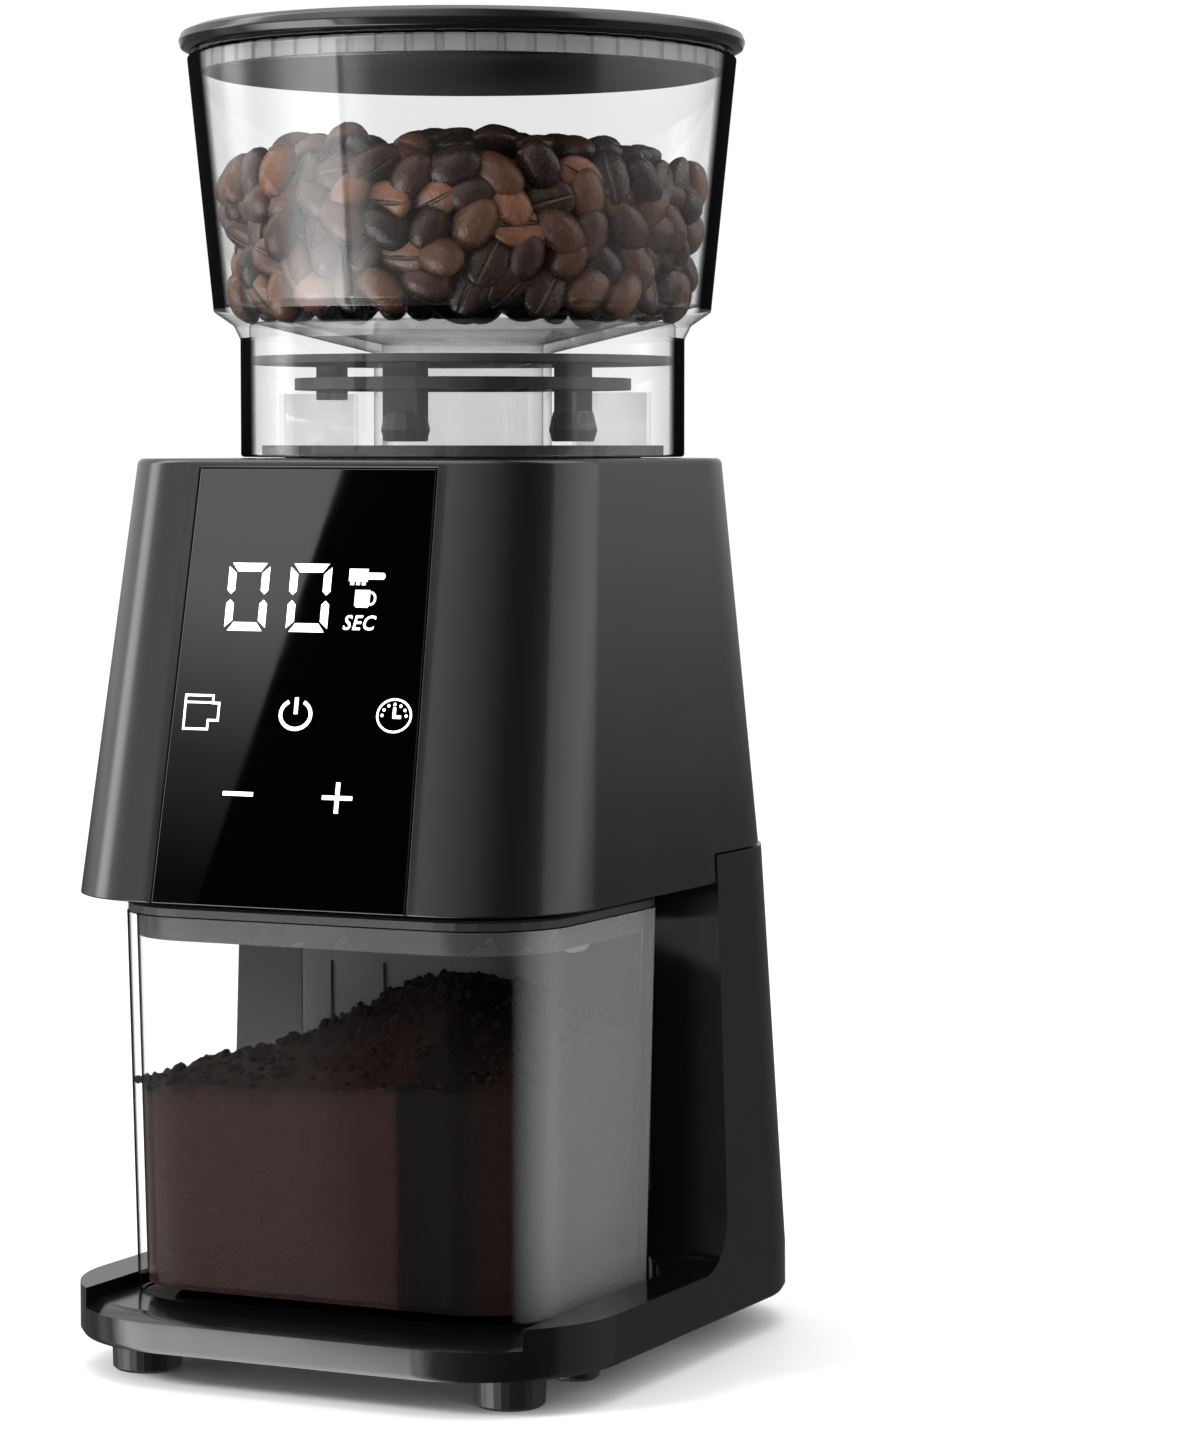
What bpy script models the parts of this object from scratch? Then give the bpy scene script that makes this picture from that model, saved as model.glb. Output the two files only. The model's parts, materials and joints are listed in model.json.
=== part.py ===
"""Burr coffee grinder: upright conical grinder with a lift-off bean hopper, a touch panel and a pull-out
grounds bin. The code is in millimetres and the scene in metres. +Z is up, the front faces -Y, and the
origin is under the middle."""

import math

import bmesh
import bpy

MM = 0.001

# ---------------------------------------------------------------- main sizes, mm
AXIS_Y = 12.6            # hopper, burrs and adjusting ring turn about x=0, y=AXIS_Y
MOTOR_Y = 52.0           # motor shaft stands at x=0, y=MOTOR_Y
WALL = 2.6               # moulded shell wall
GAP = 0.3                # assembly gap between neighbouring pieces
SHARP = math.radians(35) # edges steeper than this stay crisp

FOOT_TOP = 9.0
BASE_BOTTOM = 9.0
FLOOR = 18.8             # tray floor that the bin slides on, level with the front lip
TRAY_TOP = 21.8          # top of the tray's side walls
COLUMN_FRONT = 18.0      # y of the column's front face, the back of the bin bay
SEAM = 128.7             # top of the base column, where the upper housing starts
HOUSING_BOTTOM = 121.5
HOUSING_TOP = 230.7
DECK = 2.5               # thickness of the housing's top

BIN_BOTTOM, BIN_TOP = 19.1, 116.5
BIN_LID_TOP = 119.3

NECK_R, SHOULDER_R, BOWL_R = 57.9, 64.8, 71.4
NECK_TOP, SHOULDER_Z, BOWL_TOP = 261.5, 268.6, 335.0
LID_R, LID_TOP = 73.6, 343.0

# outer shape by height: z, half width, front y, rear y, front corner radius, rear corner radius
BASE_SHAPE = [
    (9.0, 73.2, -85.7, 86.4, 37.4, 39.4),
    (10.4, 74.0, -86.5, 87.2, 38.0, 40.0),
    (21.8, 74.0, -86.5, 87.0, 38.0, 40.0),
    (128.7, 70.5, -86.3, 81.6, 33.4, 44.2),
]
UPPER_SHAPE = [
    (121.5, 70.45, -87.2, 81.5, 33.2, 44.0),
    (229.6, 63.77, -65.52, 71.9, 28.0, 46.0),
    (230.7, 62.9, -64.5, 71.0, 27.2, 45.2),
]

MODULE = 1.0
PRESSURE = math.radians(25)
ADDENDUM, DEDENDUM, BACKLASH = 0.7, 1.05, 0.36
BURR_TEETH, PINION_TEETH, IDLER_TEETH = 48, 12, 42
LOW_GEAR_Z, HIGH_GEAR_Z = (132.0, 139.0), (141.0, 148.0)


# ---------------------------------------------------------------- scene set-up
for old in list(bpy.data.objects):
    bpy.data.objects.remove(old, do_unlink=True)

parts = bpy.data.collections.new("burr_coffee_grinder")
cutters = bpy.data.collections.new("cutters")
for made in (parts, cutters):
    bpy.context.scene.collection.children.link(made)
cutters.hide_render = True

MATERIALS = {
    "gloss_black": ((0.012, 0.012, 0.014), 0.12, 0.0, 0.0),
    "matte_black": ((0.03, 0.03, 0.032), 0.5, 0.0, 0.0),
    "panel_glass": ((0.004, 0.004, 0.005), 0.05, 0.0, 0.0),
    "clear_plastic": ((0.9, 0.92, 0.92), 0.05, 0.0, 0.9),
    "rubber": ((0.02, 0.02, 0.02), 0.85, 0.0, 0.0),
    "felt": ((0.75, 0.72, 0.65), 0.95, 0.0, 0.0),
    "steel": ((0.6, 0.6, 0.62), 0.25, 1.0, 0.0),
    "dark_steel": ((0.32, 0.32, 0.34), 0.35, 1.0, 0.0),
    "brass": ((0.75, 0.55, 0.25), 0.3, 1.0, 0.0),
    "acetal": ((0.85, 0.84, 0.8), 0.4, 0.0, 0.0),
    "board": ((0.03, 0.2, 0.09), 0.5, 0.0, 0.0),
    "copper": ((0.8, 0.4, 0.22), 0.35, 1.0, 0.0),
    "label": ((0.5, 0.5, 0.52), 0.4, 0.6, 0.0),
    "zinc": ((0.5, 0.51, 0.53), 0.4, 1.0, 0.0),
}


def material(kind, owner):
    colour, roughness, metallic, clear = MATERIALS[kind]
    made = bpy.data.materials.new(f"{owner}_{kind}")
    made.use_nodes = True
    shader = made.node_tree.nodes["Principled BSDF"]
    shader.inputs["Base Color"].default_value = (*colour, 1)
    shader.inputs["Roughness"].default_value = roughness
    shader.inputs["Metallic"].default_value = metallic
    shader.inputs["Transmission Weight"].default_value = clear
    made.diffuse_color = (*colour, 1 - 0.6 * clear)
    return made


# ---------------------------------------------------------------- mesh helpers
def put(name, work, kind, origin, turned=False):
    """Makes one object from a bmesh in mm about its origin. With no kind it is a hidden cutter."""
    bmesh.ops.scale(work, vec=(MM, MM, MM), verts=work.verts)
    if not turned:
        bmesh.ops.recalc_face_normals(work, faces=work.faces)
    mesh = bpy.data.meshes.new(name)
    work.to_mesh(mesh)
    work.free()
    if mesh.polygons:
        mesh.shade_smooth()
        mesh.set_sharp_from_angle(angle=SHARP)
    thing = bpy.data.objects.new(name, mesh)
    thing.location = [v * MM for v in origin]
    if kind:
        parts.objects.link(thing)
        mesh.materials.append(material(kind, name))
    else:
        cutters.objects.link(thing)
        thing.hide_render = True
        thing.display_type = "WIRE"
    return thing


def loft(name, rings, kind=None, origin=(0, 0, 0)):
    """Closed solid through unlike sections with equal point counts, capped at both ends."""
    work = bmesh.new()
    rows = []
    for section in rings:
        rows.append([work.verts.new((x - origin[0], y - origin[1], z - origin[2])) for x, y, z in section])
    n = len(rows[0])
    for low, high in zip(rows, rows[1:]):
        for i in range(n):
            work.faces.new((low[i], low[(i + 1) % n], high[(i + 1) % n], high[i]))
    work.faces.new(rows[0])
    work.faces.new(rows[-1])
    return put(name, work, kind, origin)


def drawn_out(name, outline, travel, kind=None, origin=(0, 0, 0)):
    """A flat outline of (x, y, z) points filled as one face and extruded along a direction."""
    work = bmesh.new()
    corners = [work.verts.new((x - origin[0], y - origin[1], z - origin[2])) for x, y, z in outline]
    face = work.faces.new(corners)
    grown = bmesh.ops.extrude_face_region(work, geom=[face], use_keep_orig=True)
    ends = [v for v in grown["geom"] if isinstance(v, bmesh.types.BMVert)]
    bmesh.ops.translate(work, vec=travel, verts=ends)
    return put(name, work, kind, origin)


def prism(name, outline, z0, z1, kind=None, origin=(0, 0, 0)):
    return drawn_out(name, [(x, y, z0) for x, y in outline], (0, 0, z1 - z0), kind, origin)


def side_prism(name, outline, x0, x1, kind=None):
    """A (y, z) outline drawn out along X."""
    return drawn_out(name, [(x0, y, z) for y, z in outline], (x1 - x0, 0, 0), kind)


def box(name, x, y, z, kind=None):
    middle = [(a + b) / 2 for a, b in (x, y, z)]
    work = bmesh.new()
    bmesh.ops.create_cube(work, size=1)
    bmesh.ops.scale(work, vec=[b - a for a, b in (x, y, z)], verts=work.verts)
    return put(name, work, kind, middle)


def rod(name, r, z0, z1, kind=None, centre=(0, 0), steps=24, origin=None):
    """Round bar along Z; its origin is on its axis."""
    base_z = origin[2] if origin else z0
    work = bmesh.new()
    bmesh.ops.create_cone(work, cap_ends=True, segments=steps, radius1=r, radius2=r, depth=z1 - z0)
    bmesh.ops.translate(work, vec=(0, 0, (z0 + z1) / 2 - base_z), verts=work.verts)
    return put(name, work, kind, (centre[0], centre[1], base_z))


def lathe(name, profile, kind=None, centre=(0, 0), steps=48, origin=(0, 0, 0), along="Z", hub=(0, 0, 0)):
    """A (radius, height) profile with a Screw modifier, about Z or about Y. It is closed unless it ends
    on the axis."""
    on_axis = profile[0][0] == 0 and profile[-1][0] == 0
    area = sum(a[0] * b[1] - b[0] * a[1] for a, b in zip(profile, profile[1:] + profile[:1]))
    if area > 0:
        profile = profile[::-1]          # the outer side then runs from top to bottom
    base_h = origin[2] if along == "Z" else hub[1]
    work = bmesh.new()
    corners = [work.verts.new((r, 0, h - base_h)) for r, h in profile]
    for first, second in zip(corners, corners[1:] + ([] if on_axis else corners[:1])):
        work.edges.new((first, second))
    where = (centre[0], centre[1], base_h) if along == "Z" else hub
    thing = put(name, work, kind, where, turned=True)
    if along == "Y":
        thing.rotation_euler = (-math.pi / 2, 0, 0)
    turn = thing.modifiers.new("turned", "SCREW")
    turn.steps = turn.render_steps = steps
    turn.use_merge_vertices, turn.merge_threshold = True, 0.00001
    return thing


def ring(name, r0, r1, z0, z1, kind=None, centre=(0, 0), steps=32, origin=(0, 0, 0)):
    return lathe(name, [(r0, z0), (r1, z0), (r1, z1), (r0, z1)], kind, centre, steps, origin)


def change(thing, other, operation):
    step = thing.modifiers.new(f"{operation.lower()}_{other.name}"[:60], "BOOLEAN")
    step.operation, step.object, step.solver = operation, other, "EXACT"


def cut(thing, *others):
    for other in others:
        change(thing, other, "DIFFERENCE")


def join(thing, *others):
    for other in others:
        change(thing, other, "UNION")


# ---------------------------------------------------------------- outlines
def rounded(half, front, rear, r_front, r_rear, steps=8):
    """Rounded rectangle seen from above, counter-clockwise."""
    corners = [
        (half - r_front, front + r_front, r_front, -90),
        (half - r_rear, rear - r_rear, r_rear, 0),
        (-half + r_rear, rear - r_rear, r_rear, 90),
        (-half + r_front, front + r_front, r_front, 180),
    ]
    outline = []
    for cx, cy, r, start in corners:
        for i in range(steps + 1):
            a = math.radians(start + 90 * i / steps)
            outline.append((cx + r * math.cos(a), cy + r * math.sin(a)))
    return outline


def shape_at(shape, z):
    """Shape numbers at a height, carried on past either end of the list."""
    low, high = shape[0], shape[1]
    for a, b in zip(shape, shape[1:]):
        if z >= a[0]:
            low, high = a, b
    t = (z - low[0]) / (high[0] - low[0])
    return [u + t * (v - u) for u, v in zip(low[1:], high[1:])]


def shell_ring(shape, z, inset=0.0):
    half, front, rear, r_front, r_rear = shape_at(shape, z)
    outline = rounded(half - inset, front + inset, rear - inset, r_front - inset, r_rear - inset)
    return [(x, y, z) for x, y in outline]


def front_y(z):
    """The leaning front plane of the upper housing."""
    (z0, _, f0, *_), (z1, _, f1, *_) = UPPER_SHAPE[:2]
    return f0 + (z - z0) * (f1 - f0) / (z1 - z0)


def star(count, r_root, r_tip, share=0.5, phase=0.0):
    """A ring of square-shouldered ridges, four points to a ridge."""
    outline = []
    pitch = 2 * math.pi / count
    ridge = ((-0.5, r_root), (-0.35, r_tip), (0.35, r_tip), (0.5, r_root))
    for i in range(count):
        a = phase + i * pitch
        for turn, r in [(place * share, r) for place, r in ridge]:
            outline.append((r * math.cos(a + turn * pitch), r * math.sin(a + turn * pitch)))
    return outline


def gear_outline(teeth, phase):
    """Stub involute teeth, thinned by the backlash, with one tooth centred on the phase angle."""
    pitch_r = MODULE * teeth / 2
    base_r = pitch_r * math.cos(PRESSURE)
    tip_r, root_r = pitch_r + ADDENDUM * MODULE, pitch_r - DEDENDUM * MODULE

    def inv(r):
        roll = math.acos(min(1.0, base_r / r))
        return math.tan(roll) - roll

    half_pitch = (math.pi * MODULE / 2 - BACKLASH) / 2 / pitch_r
    radii = [root_r] + [max(base_r, root_r) + t * (tip_r - max(base_r, root_r)) for t in (0.2, 1.0)]
    outline = []
    for i in range(teeth):
        a = phase + 2 * math.pi * i / teeth
        flank = [(r, half_pitch + inv(pitch_r) - inv(max(r, base_r))) for r in radii]
        for r, half in flank:
            outline.append((r * math.cos(a - half), r * math.sin(a - half)))
        for r, half in reversed(flank):
            outline.append((r * math.cos(a + half), r * math.sin(a + half)))
    return outline


def moved(outline, centre):
    return [(x + centre[0], y + centre[1]) for x, y in outline]


# ---------------------------------------------------------------- base and column
base = loft("base_shell", [shell_ring(BASE_SHAPE, row[0]) for row in BASE_SHAPE], "gloss_black")

FILLET = 14.0
bay_side = [(-130, TRAY_TOP)]
for i in range(9):
    a = math.radians(-90 + 90 * i / 8)
    bay_side.append((COLUMN_FRONT - FILLET + FILLET * math.cos(a), TRAY_TOP + FILLET + FILLET * math.sin(a)))
bay_side += [(COLUMN_FRONT, 160), (-130, 160)]
bay_cut = side_prism("cut_bay", bay_side, -120, 120)

# the front of the tray is lowered between the two ends of its side walls, down to a chamfered lip
LIP_HALF, LIP_DROP, LIP_RUN = 61.5, 2.2, 4.2
lip_keep = loft(
    "cut_lip_keep",
    [
        [(x, y, 2.0) for x, y, _ in shell_ring(BASE_SHAPE, 15.0, -1.0)],
        [(x, y, FLOOR - LIP_DROP * (1 + 1 / LIP_RUN)) for x, y, _ in shell_ring(BASE_SHAPE, 15.0, -1.0)],
        [(x, y, FLOOR) for x, y, _ in shell_ring(BASE_SHAPE, 15.0, LIP_RUN)],
    ],
)
lip_cut = prism("cut_lip", rounded(LIP_HALF, -130, 14.0, 1.0, 15.0, 6), 11.0, 60)
cut(lip_cut, lip_keep)

under_cut = loft("cut_underside", [shell_ring(BASE_SHAPE, z, WALL) for z in (10.4, 16.2)])
for corner in under_cut.data.vertices[: len(under_cut.data.vertices) // 2]:
    corner.co.z = 4.0 * MM
column_cut = loft("cut_column", [shell_ring(BASE_SHAPE, z, WALL) for z in (14.0, 60.0, 150.0)])
cut(column_cut, box("cut_column_front", (-120, 120), (-150, COLUMN_FRONT + WALL), (5, 170)))
wall_opening = box("cut_bay_wall", (-52, 52), (4, COLUMN_FRONT + 12), (40, 170))
gland_cut = lathe("cut_gland", [(0, 70), (7, 70), (7, 100), (0, 100)], along="Y", hub=(0, 0, 30), steps=24)

cut(base, bay_cut, lip_cut, under_cut, column_cut, wall_opening, gland_cut)
SCREW_SPOTS = [(-62, -45), (62, -45), (-62, 8), (62, 8)]
for number, spot in enumerate(SCREW_SPOTS, 1):
    join(base, rod(f"add_boss_{number}", 5, 11.7, 17.4, centre=spot, steps=16))
for number, spot in enumerate(SCREW_SPOTS, 1):
    cut(base, rod(f"cut_boss_{number}", 2.0, 10.5, 16.6, centre=spot, steps=16))
# upright ribs inside the column carry the motor plate
for number, side in enumerate((-1, 1), 1):
    rib = box(f"add_rib_{number}", sorted((side * 56.6, side * 59.2)), (19.5, 30), (24, 111))
    join(base, rib)

cover_outline = [(x, y) for x, y, _ in shell_ring(BASE_SHAPE, 11.0, WALL + GAP)]
cover = prism("bottom_cover", cover_outline, 9.3, 11.3, "matte_black")
for number, spot in enumerate(SCREW_SPOTS, 1):
    cut(cover, rod(f"cut_cover_hole_{number}", 2.1, 5, 15, centre=spot, steps=16))
for i in range(7):
    x = -27 + 9 * i
    cut(cover, box(f"cut_vent_{i + 1}", (x - 1.8, x + 1.8), (34, 70), (5, 15)))

cover_screw = [(0, 7.6), (3.0, 7.6), (3.6, 8.2), (3.6, 9.0), (1.7, 9.0), (1.7, 15.6), (0, 16.2)]
for number, spot in enumerate(SCREW_SPOTS, 1):
    lathe(f"cover_screw_{number}", cover_screw, "zinc", spot, 16, (*spot, 9))

FEET = [("front_left", -51.5, -63.5, 9.0), ("front_right", 51.5, -63.5, 9.0), ("middle_left", -52, -28, 6.5),
        ("middle_right", 52, -28, 6.5), ("rear_left", -46, 66, 6.5), ("rear_right", 46, 66, 6.5)]
for place, x, y, r in FEET:
    foot = [(0, 0), (r - 1.2, 0), (r - 0.2, 0.8), (r, 8.0), (r - 0.8, FOOT_TOP), (0, FOOT_TOP)]
    lathe(f"foot_{place}", foot, "rubber", (x, y), 28, (x, y, 0))

box("rating_plate", (-30, 30), (-12, 24), (8.6, 9.0), "label")

cord_gland = [(0, 79.5), (9.4, 79.5), (9.4, 83.4), (6.7, 83.4), (6.7, 86.2), (5.9, 87.0), (3.4, 87.0),
              (3.4, 81.5), (0, 81.5)]
lathe("cord_gland", cord_gland, "rubber", along="Y", hub=(0, 0, 30), steps=20)

bay_wall = box("bay_wall", (-51.7, 51.7), (COLUMN_FRONT, COLUMN_FRONT + 2.3), (40.3, 124.4), "matte_black")
for i, x in enumerate((-40, -24, 24, 40)):
    cut(bay_wall, box(f"cut_groove_{i + 1}", (x - 3, x + 3), (10, COLUMN_FRONT + 0.9), (52, 96)))
BIN_SWITCH = (31.0, 105.0)
cut(bay_wall, lathe("cut_bin_plunger", [(0, 5), (3.4, 5), (3.4, 40), (0, 40)], along="Y", steps=20,
                    hub=(BIN_SWITCH[0], 0, BIN_SWITCH[1])))

# ---------------------------------------------------------------- upper housing
housing = loft("upper_housing", [shell_ring(UPPER_SHAPE, row[0]) for row in UPPER_SHAPE], "gloss_black")
cavity = loft("cut_housing_cavity", [shell_ring(UPPER_SHAPE, z, WALL) for z in (110.0, HOUSING_TOP - DECK)])
deck_hole = rod("cut_deck", 47.5, 220, 240, centre=(0, AXIS_Y), steps=48)
rear_cut = box("cut_rear_edge", (-120, 120), (COLUMN_FRONT - GAP, 130), (100, SEAM + GAP))


def panel_points(half_low, half_high, z0, z1, outer, inner):
    """A plate that lies along the leaning front, its width following the front's taper."""
    def half_at(z):
        return half_low + (half_high - half_low) * (z - HOUSING_BOTTOM) / (HOUSING_TOP - HOUSING_BOTTOM)

    rings = []
    for depth in (outer, inner):
        rings.append([(side * half_at(z), front_y(z) + depth, z)
                      for side, z in ((-1, z0), (1, z0), (1, z1), (-1, z1))])
    return rings


glass_pocket = loft("cut_glass", panel_points(35.5, 33.2, 122.4, 229.3, -3.0, 1.35))
window = box("cut_display_window", (-27, 27), (-100, -50), (145, 208))
HOPPER_SWITCH = (-56.7, AXIS_Y)
plunger_hole = rod("cut_hopper_plunger", 2.4, 220, 240, centre=HOPPER_SWITCH, steps=16)
cut(housing, cavity, deck_hole, rear_cut, glass_pocket, window, plunger_hole)

loft("front_panel_glass", panel_points(35.2, 32.9, 122.7, 229.0, 0.0, 1.05), "panel_glass")
loft("display_board", panel_points(30.0, 29.0, 142.0, 212.0, 5.0, 6.6), "board")

CHUTE_X, CHUTE_Y = (-14.0, 14.0), (-50.0, -24.0)
ceiling_outline = [(x, y) for x, y, _ in shell_ring(UPPER_SHAPE, 125.0, WALL + GAP)]
ceiling = prism("bay_ceiling", ceiling_outline, 122.2, 124.4, "matte_black")
cut(ceiling, box("cut_ceiling_rear", (-120, 120), (COLUMN_FRONT - GAP, 130), (100, 140)))
chute_room = [(low - GAP, high + GAP) for low, high in (CHUTE_X, CHUTE_Y)]
cut(ceiling, box("cut_ceiling_chute", *chute_room, (100, 140)))

# ---------------------------------------------------------------- bean hopper and lid
HUB = (0, AXIS_Y, 0)
hopper_profile = [
    (NECK_R, 231.0), (NECK_R, NECK_TOP), (59.6, 265.0), (SHOULDER_R, SHOULDER_Z), (BOWL_R, BOWL_TOP),
    (BOWL_R - 2.2, BOWL_TOP), (SHOULDER_R - 2.2, 270.4), (21.0, 260.2), (21.0, 229.0), (23.2, 229.0),
    (23.2, 258.0), (NECK_R - 2.3, 266.0), (NECK_R - 2.3, 231.0),
]
lathe("hopper", hopper_profile, "clear_plastic", (0, AXIS_Y), 56, (0, AXIS_Y, 231))

# the frame is a thin ring and a lower ledge, held by a front post, a right post and a short web on the left
frame = ring("hopper_frame", 23.6, 55.2, 255.0, 257.0, "matte_black", (0, AXIS_Y), 40, (0, AXIS_Y, 231))
join(frame, ring("add_frame_ledge", 36.0, 44.0, 248.4, 251.4, centre=(0, AXIS_Y), steps=32))
POST_R, WEB_X = 32.0, -39.0
POSTS = [("right", POST_R, AXIS_Y, 3.1, 4.9), ("front", 0.0, AXIS_Y - POST_R, 4.9, 3.1)]
post_foot = [(0, 235.0), (5.4, 235.0), (6.3, 238.0), (5.2, 242.6), (0, 243.0)]
for side, x, y, wide, deep in POSTS:
    join(frame, box(f"add_post_{side}", (x - wide, x + wide), (y - deep, y + deep), (235.2, 256.0)))
    join(frame, lathe(f"add_post_foot_{side}", post_foot, centre=(x, y), steps=12))
    out = (x * 1.14, AXIS_Y + (y - AXIS_Y) * 1.14)
    join(frame, rod(f"add_post_arm_{side}", 5.4, 248.6, 251.2, centre=out, steps=16))
join(frame, box("add_web", (WEB_X - 3.1, WEB_X + 3.1), (AXIS_Y - 3.0, AXIS_Y + 3.0), (246.0, 256.0)))

# the lid is a cap with a skirt, closed from below by a plug plate just above the bowl's rim
SKIRT_IN, SKIRT_OUT, SKIRT_BOTTOM = 64.2, 66.2, 329.8
lid_cap = [
    (0, LID_TOP), (62, 342.2), (70.0, 341.4), (72.8, 340.3), (LID_R, 338.4), (73.0, 336.5), (71.0, 335.5),
    (SKIRT_OUT, 335.4), (SKIRT_OUT, SKIRT_BOTTOM), (SKIRT_IN, SKIRT_BOTTOM), (SKIRT_IN, 338.4), (0, 340.4),
]
lathe("hopper_lid", lid_cap, "gloss_black", (0, AXIS_Y), 56, (0, AXIS_Y, 335))
PLUG_R, PLUG_BOTTOM, PLUG_TOP = SKIRT_IN - GAP, BOWL_TOP + 1.0, BOWL_TOP + 2.8
lid_plug = [(0, PLUG_BOTTOM), (PLUG_R, PLUG_BOTTOM), (PLUG_R, PLUG_TOP), (0, PLUG_TOP)]
lathe("lid_plug", lid_plug, "matte_black", (0, AXIS_Y), 48, (0, AXIS_Y, 335))
lathe("lid_seal", [(66.5, 330.2), (67.8, 330.2), (68.3, 331.2), (67.6, 332.4), (68.5, 333.8), (68.1, 334.9),
                   (66.5, 334.9)], "rubber", (0, AXIS_Y), 48, (0, AXIS_Y, 335))

# ---------------------------------------------------------------- adjusting ring and burrs
ring_profile = [(32.2, 216), (46.6, 216), (46.6, 231.0), (52.5, 231.0), (52.5, 234.0), (32.2, 234.0)]
adjust = lathe("grind_ring", ring_profile, "matte_black", (0, AXIS_Y), 40, (0, AXIS_Y, 231))
for i in range(8):
    a = math.pi / 4 * i + math.pi / 8
    cut(adjust, rod(f"cut_ring_notch_{i + 1}", 3.0, 229.9, 240, steps=12,
                    centre=(53.5 * math.cos(a), AXIS_Y + 53.5 * math.sin(a))))

carrier = [(27.3, 183), (31.6, 183), (31.6, 226), (29.6, 226), (22.4, 212), (22.4, 209.4), (27.3, 209.4)]
lathe("upper_burr_carrier", carrier, "acetal", (0, AXIS_Y), 32, (0, AXIS_Y, 183))


def burr_rings(levels, twist):
    rings = []
    for z, r_root, r_tip in levels:
        outline = star(14, r_root, r_tip, 0.9, twist * (z - levels[0][0]))
        rings.append([(x, y + AXIS_Y, z) for x, y in outline])
    return rings


bore = rod("cut_burr_bore", 4.25, 170, 220, centre=(0, AXIS_Y), steps=24)
# height, root radius and tip radius of the cutting ridges, which lean round the axis by TWIST radians a mm
TWIST = 0.012
CONE_LEVELS = [(178.0, 20.4, 21.6), (182.0, 20.7, 22.0), (195.0, 12.6, 15.0), (207.0, 6.2, 8.8)]
RING_LEVELS = [(182.0, 24.0, 24.9), (190.0, 20.6, 22.6), (211.0, 14.4, 17.6)]
cone = loft("lower_burr", burr_rings(CONE_LEVELS, TWIST), "steel", (0, AXIS_Y, 178))
cut(cone, bore)
outer_burr = rod("upper_burr", 27.0, 183.3, 209.1, "steel", (0, AXIS_Y), 36, (0, AXIS_Y, 183))
cut(outer_burr, loft("cut_upper_burr", burr_rings(RING_LEVELS, -TWIST)))

hexagon = [(6.4 * math.cos(math.pi / 3 * i), AXIS_Y + 6.4 * math.sin(math.pi / 3 * i)) for i in range(6)]
nut = prism("burr_nut", hexagon, 207.3, 211.6, "steel", (0, AXIS_Y, 207))
cut(nut, bore)

paddles = []
for i in range(4):
    a = math.pi / 2 * i
    for turn, r in ((-0.62, 13.5), (-0.2, 13.5), (-0.13, 30.8), (0.13, 30.8), (0.2, 13.5), (0.62, 13.5)):
        paddles.append((r * math.cos(a + turn), AXIS_Y + r * math.sin(a + turn)))
sweeper = prism("burr_sweeper", paddles, 164.0, 171.0, "acetal", (0, AXIS_Y, 164))
join(sweeper, rod("add_sweeper_hub", 12.0, 170.0, 177.7, centre=(0, AXIS_Y), steps=24))
cut(sweeper, rod("cut_sweeper_bore", 4.25, 150, 190, centre=(0, AXIS_Y), steps=24))

burr_shaft = [(0, 127.7), (4.0, 127.7), (4.0, 213.2), (3.2, 214.0), (0, 214.0)]
lathe("burr_shaft", burr_shaft, "steel", (0, AXIS_Y), 24, (0, AXIS_Y, 128))

chamber_profile = [
    (9.3, 156.4), (12.4, 156.4), (12.4, 160.0), (36.0, 160.0), (36.0, 214.0), (32.6, 214.0), (32.6, 163.0),
    (9.3, 163.0),
]
chamber = lathe("grind_chamber", chamber_profile, "zinc", (0, AXIS_Y), 32)
cut(chamber, box("cut_chamber_mouth", (-10, 10), (-40, -12), (163.0, 175.0)))
ring("upper_bearing", 4.25, 9.0, 156.7, 161.2, "steel", (0, AXIS_Y), 28)
ring("felt_seal", 4.3, 9.0, 161.5, 162.9, "felt", (0, AXIS_Y), 28)

chute = box("grounds_chute", CHUTE_X, CHUTE_Y, (121.9, 178.0), "matte_black")
cut(chute, box("cut_chute_inside", (-12, 12), (-48, -26), (100, 176)))
cut(chute, box("cut_chute_back", (-10, 10), (-30, -15), (163.5, 175.0)))

# ---------------------------------------------------------------- gear train
to_motor = MOTOR_Y - AXIS_Y
burr_distance = MODULE * (BURR_TEETH + PINION_TEETH) / 2
motor_distance = MODULE * (IDLER_TEETH + PINION_TEETH) / 2
idler_along = (burr_distance**2 - motor_distance**2 + to_motor**2) / (2 * to_motor)
IDLER = (math.sqrt(burr_distance**2 - idler_along**2), AXIS_Y + idler_along)
to_burr = math.atan2(AXIS_Y - IDLER[1], -IDLER[0])
to_pinion = math.atan2(MOTOR_Y - IDLER[1], -IDLER[0])


def gear(name, teeth, phase, centre, z, kind, bore_r, origin):
    made = prism(name, moved(gear_outline(teeth, phase), centre), z[0], z[1], kind, origin)
    if bore_r:
        cut(made, rod(f"cut_{name}_bore", bore_r, z[0] - 20, z[1] + 20, centre=centre, steps=20))
    return made


# a gear that meets another has a gap, half a tooth pitch round from a tooth, on the line of centres
burr_phase = to_burr + math.pi + math.pi / BURR_TEETH
pinion_phase = to_pinion + math.pi + math.pi / PINION_TEETH
gear("burr_gear", BURR_TEETH, burr_phase, (0, AXIS_Y), HIGH_GEAR_Z, "acetal", 4.25, (0, AXIS_Y, 141))
gear("motor_pinion", PINION_TEETH, pinion_phase, (0, MOTOR_Y), (131.0, 140.0), "brass", 2.75,
     (0, MOTOR_Y, 131))
idler = gear("intermediate_gear", IDLER_TEETH, to_pinion, IDLER, LOW_GEAR_Z, "acetal", 0, (*IDLER, 132))
idler_small = gear("add_idler_pinion", PINION_TEETH, to_burr, IDLER, (138.0, 149.0), None, 0, (0, 0, 0))
join(idler, idler_small)
cut(idler, rod("cut_idler_bore", 2.8, 120, 160, centre=IDLER, steps=20))
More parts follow.
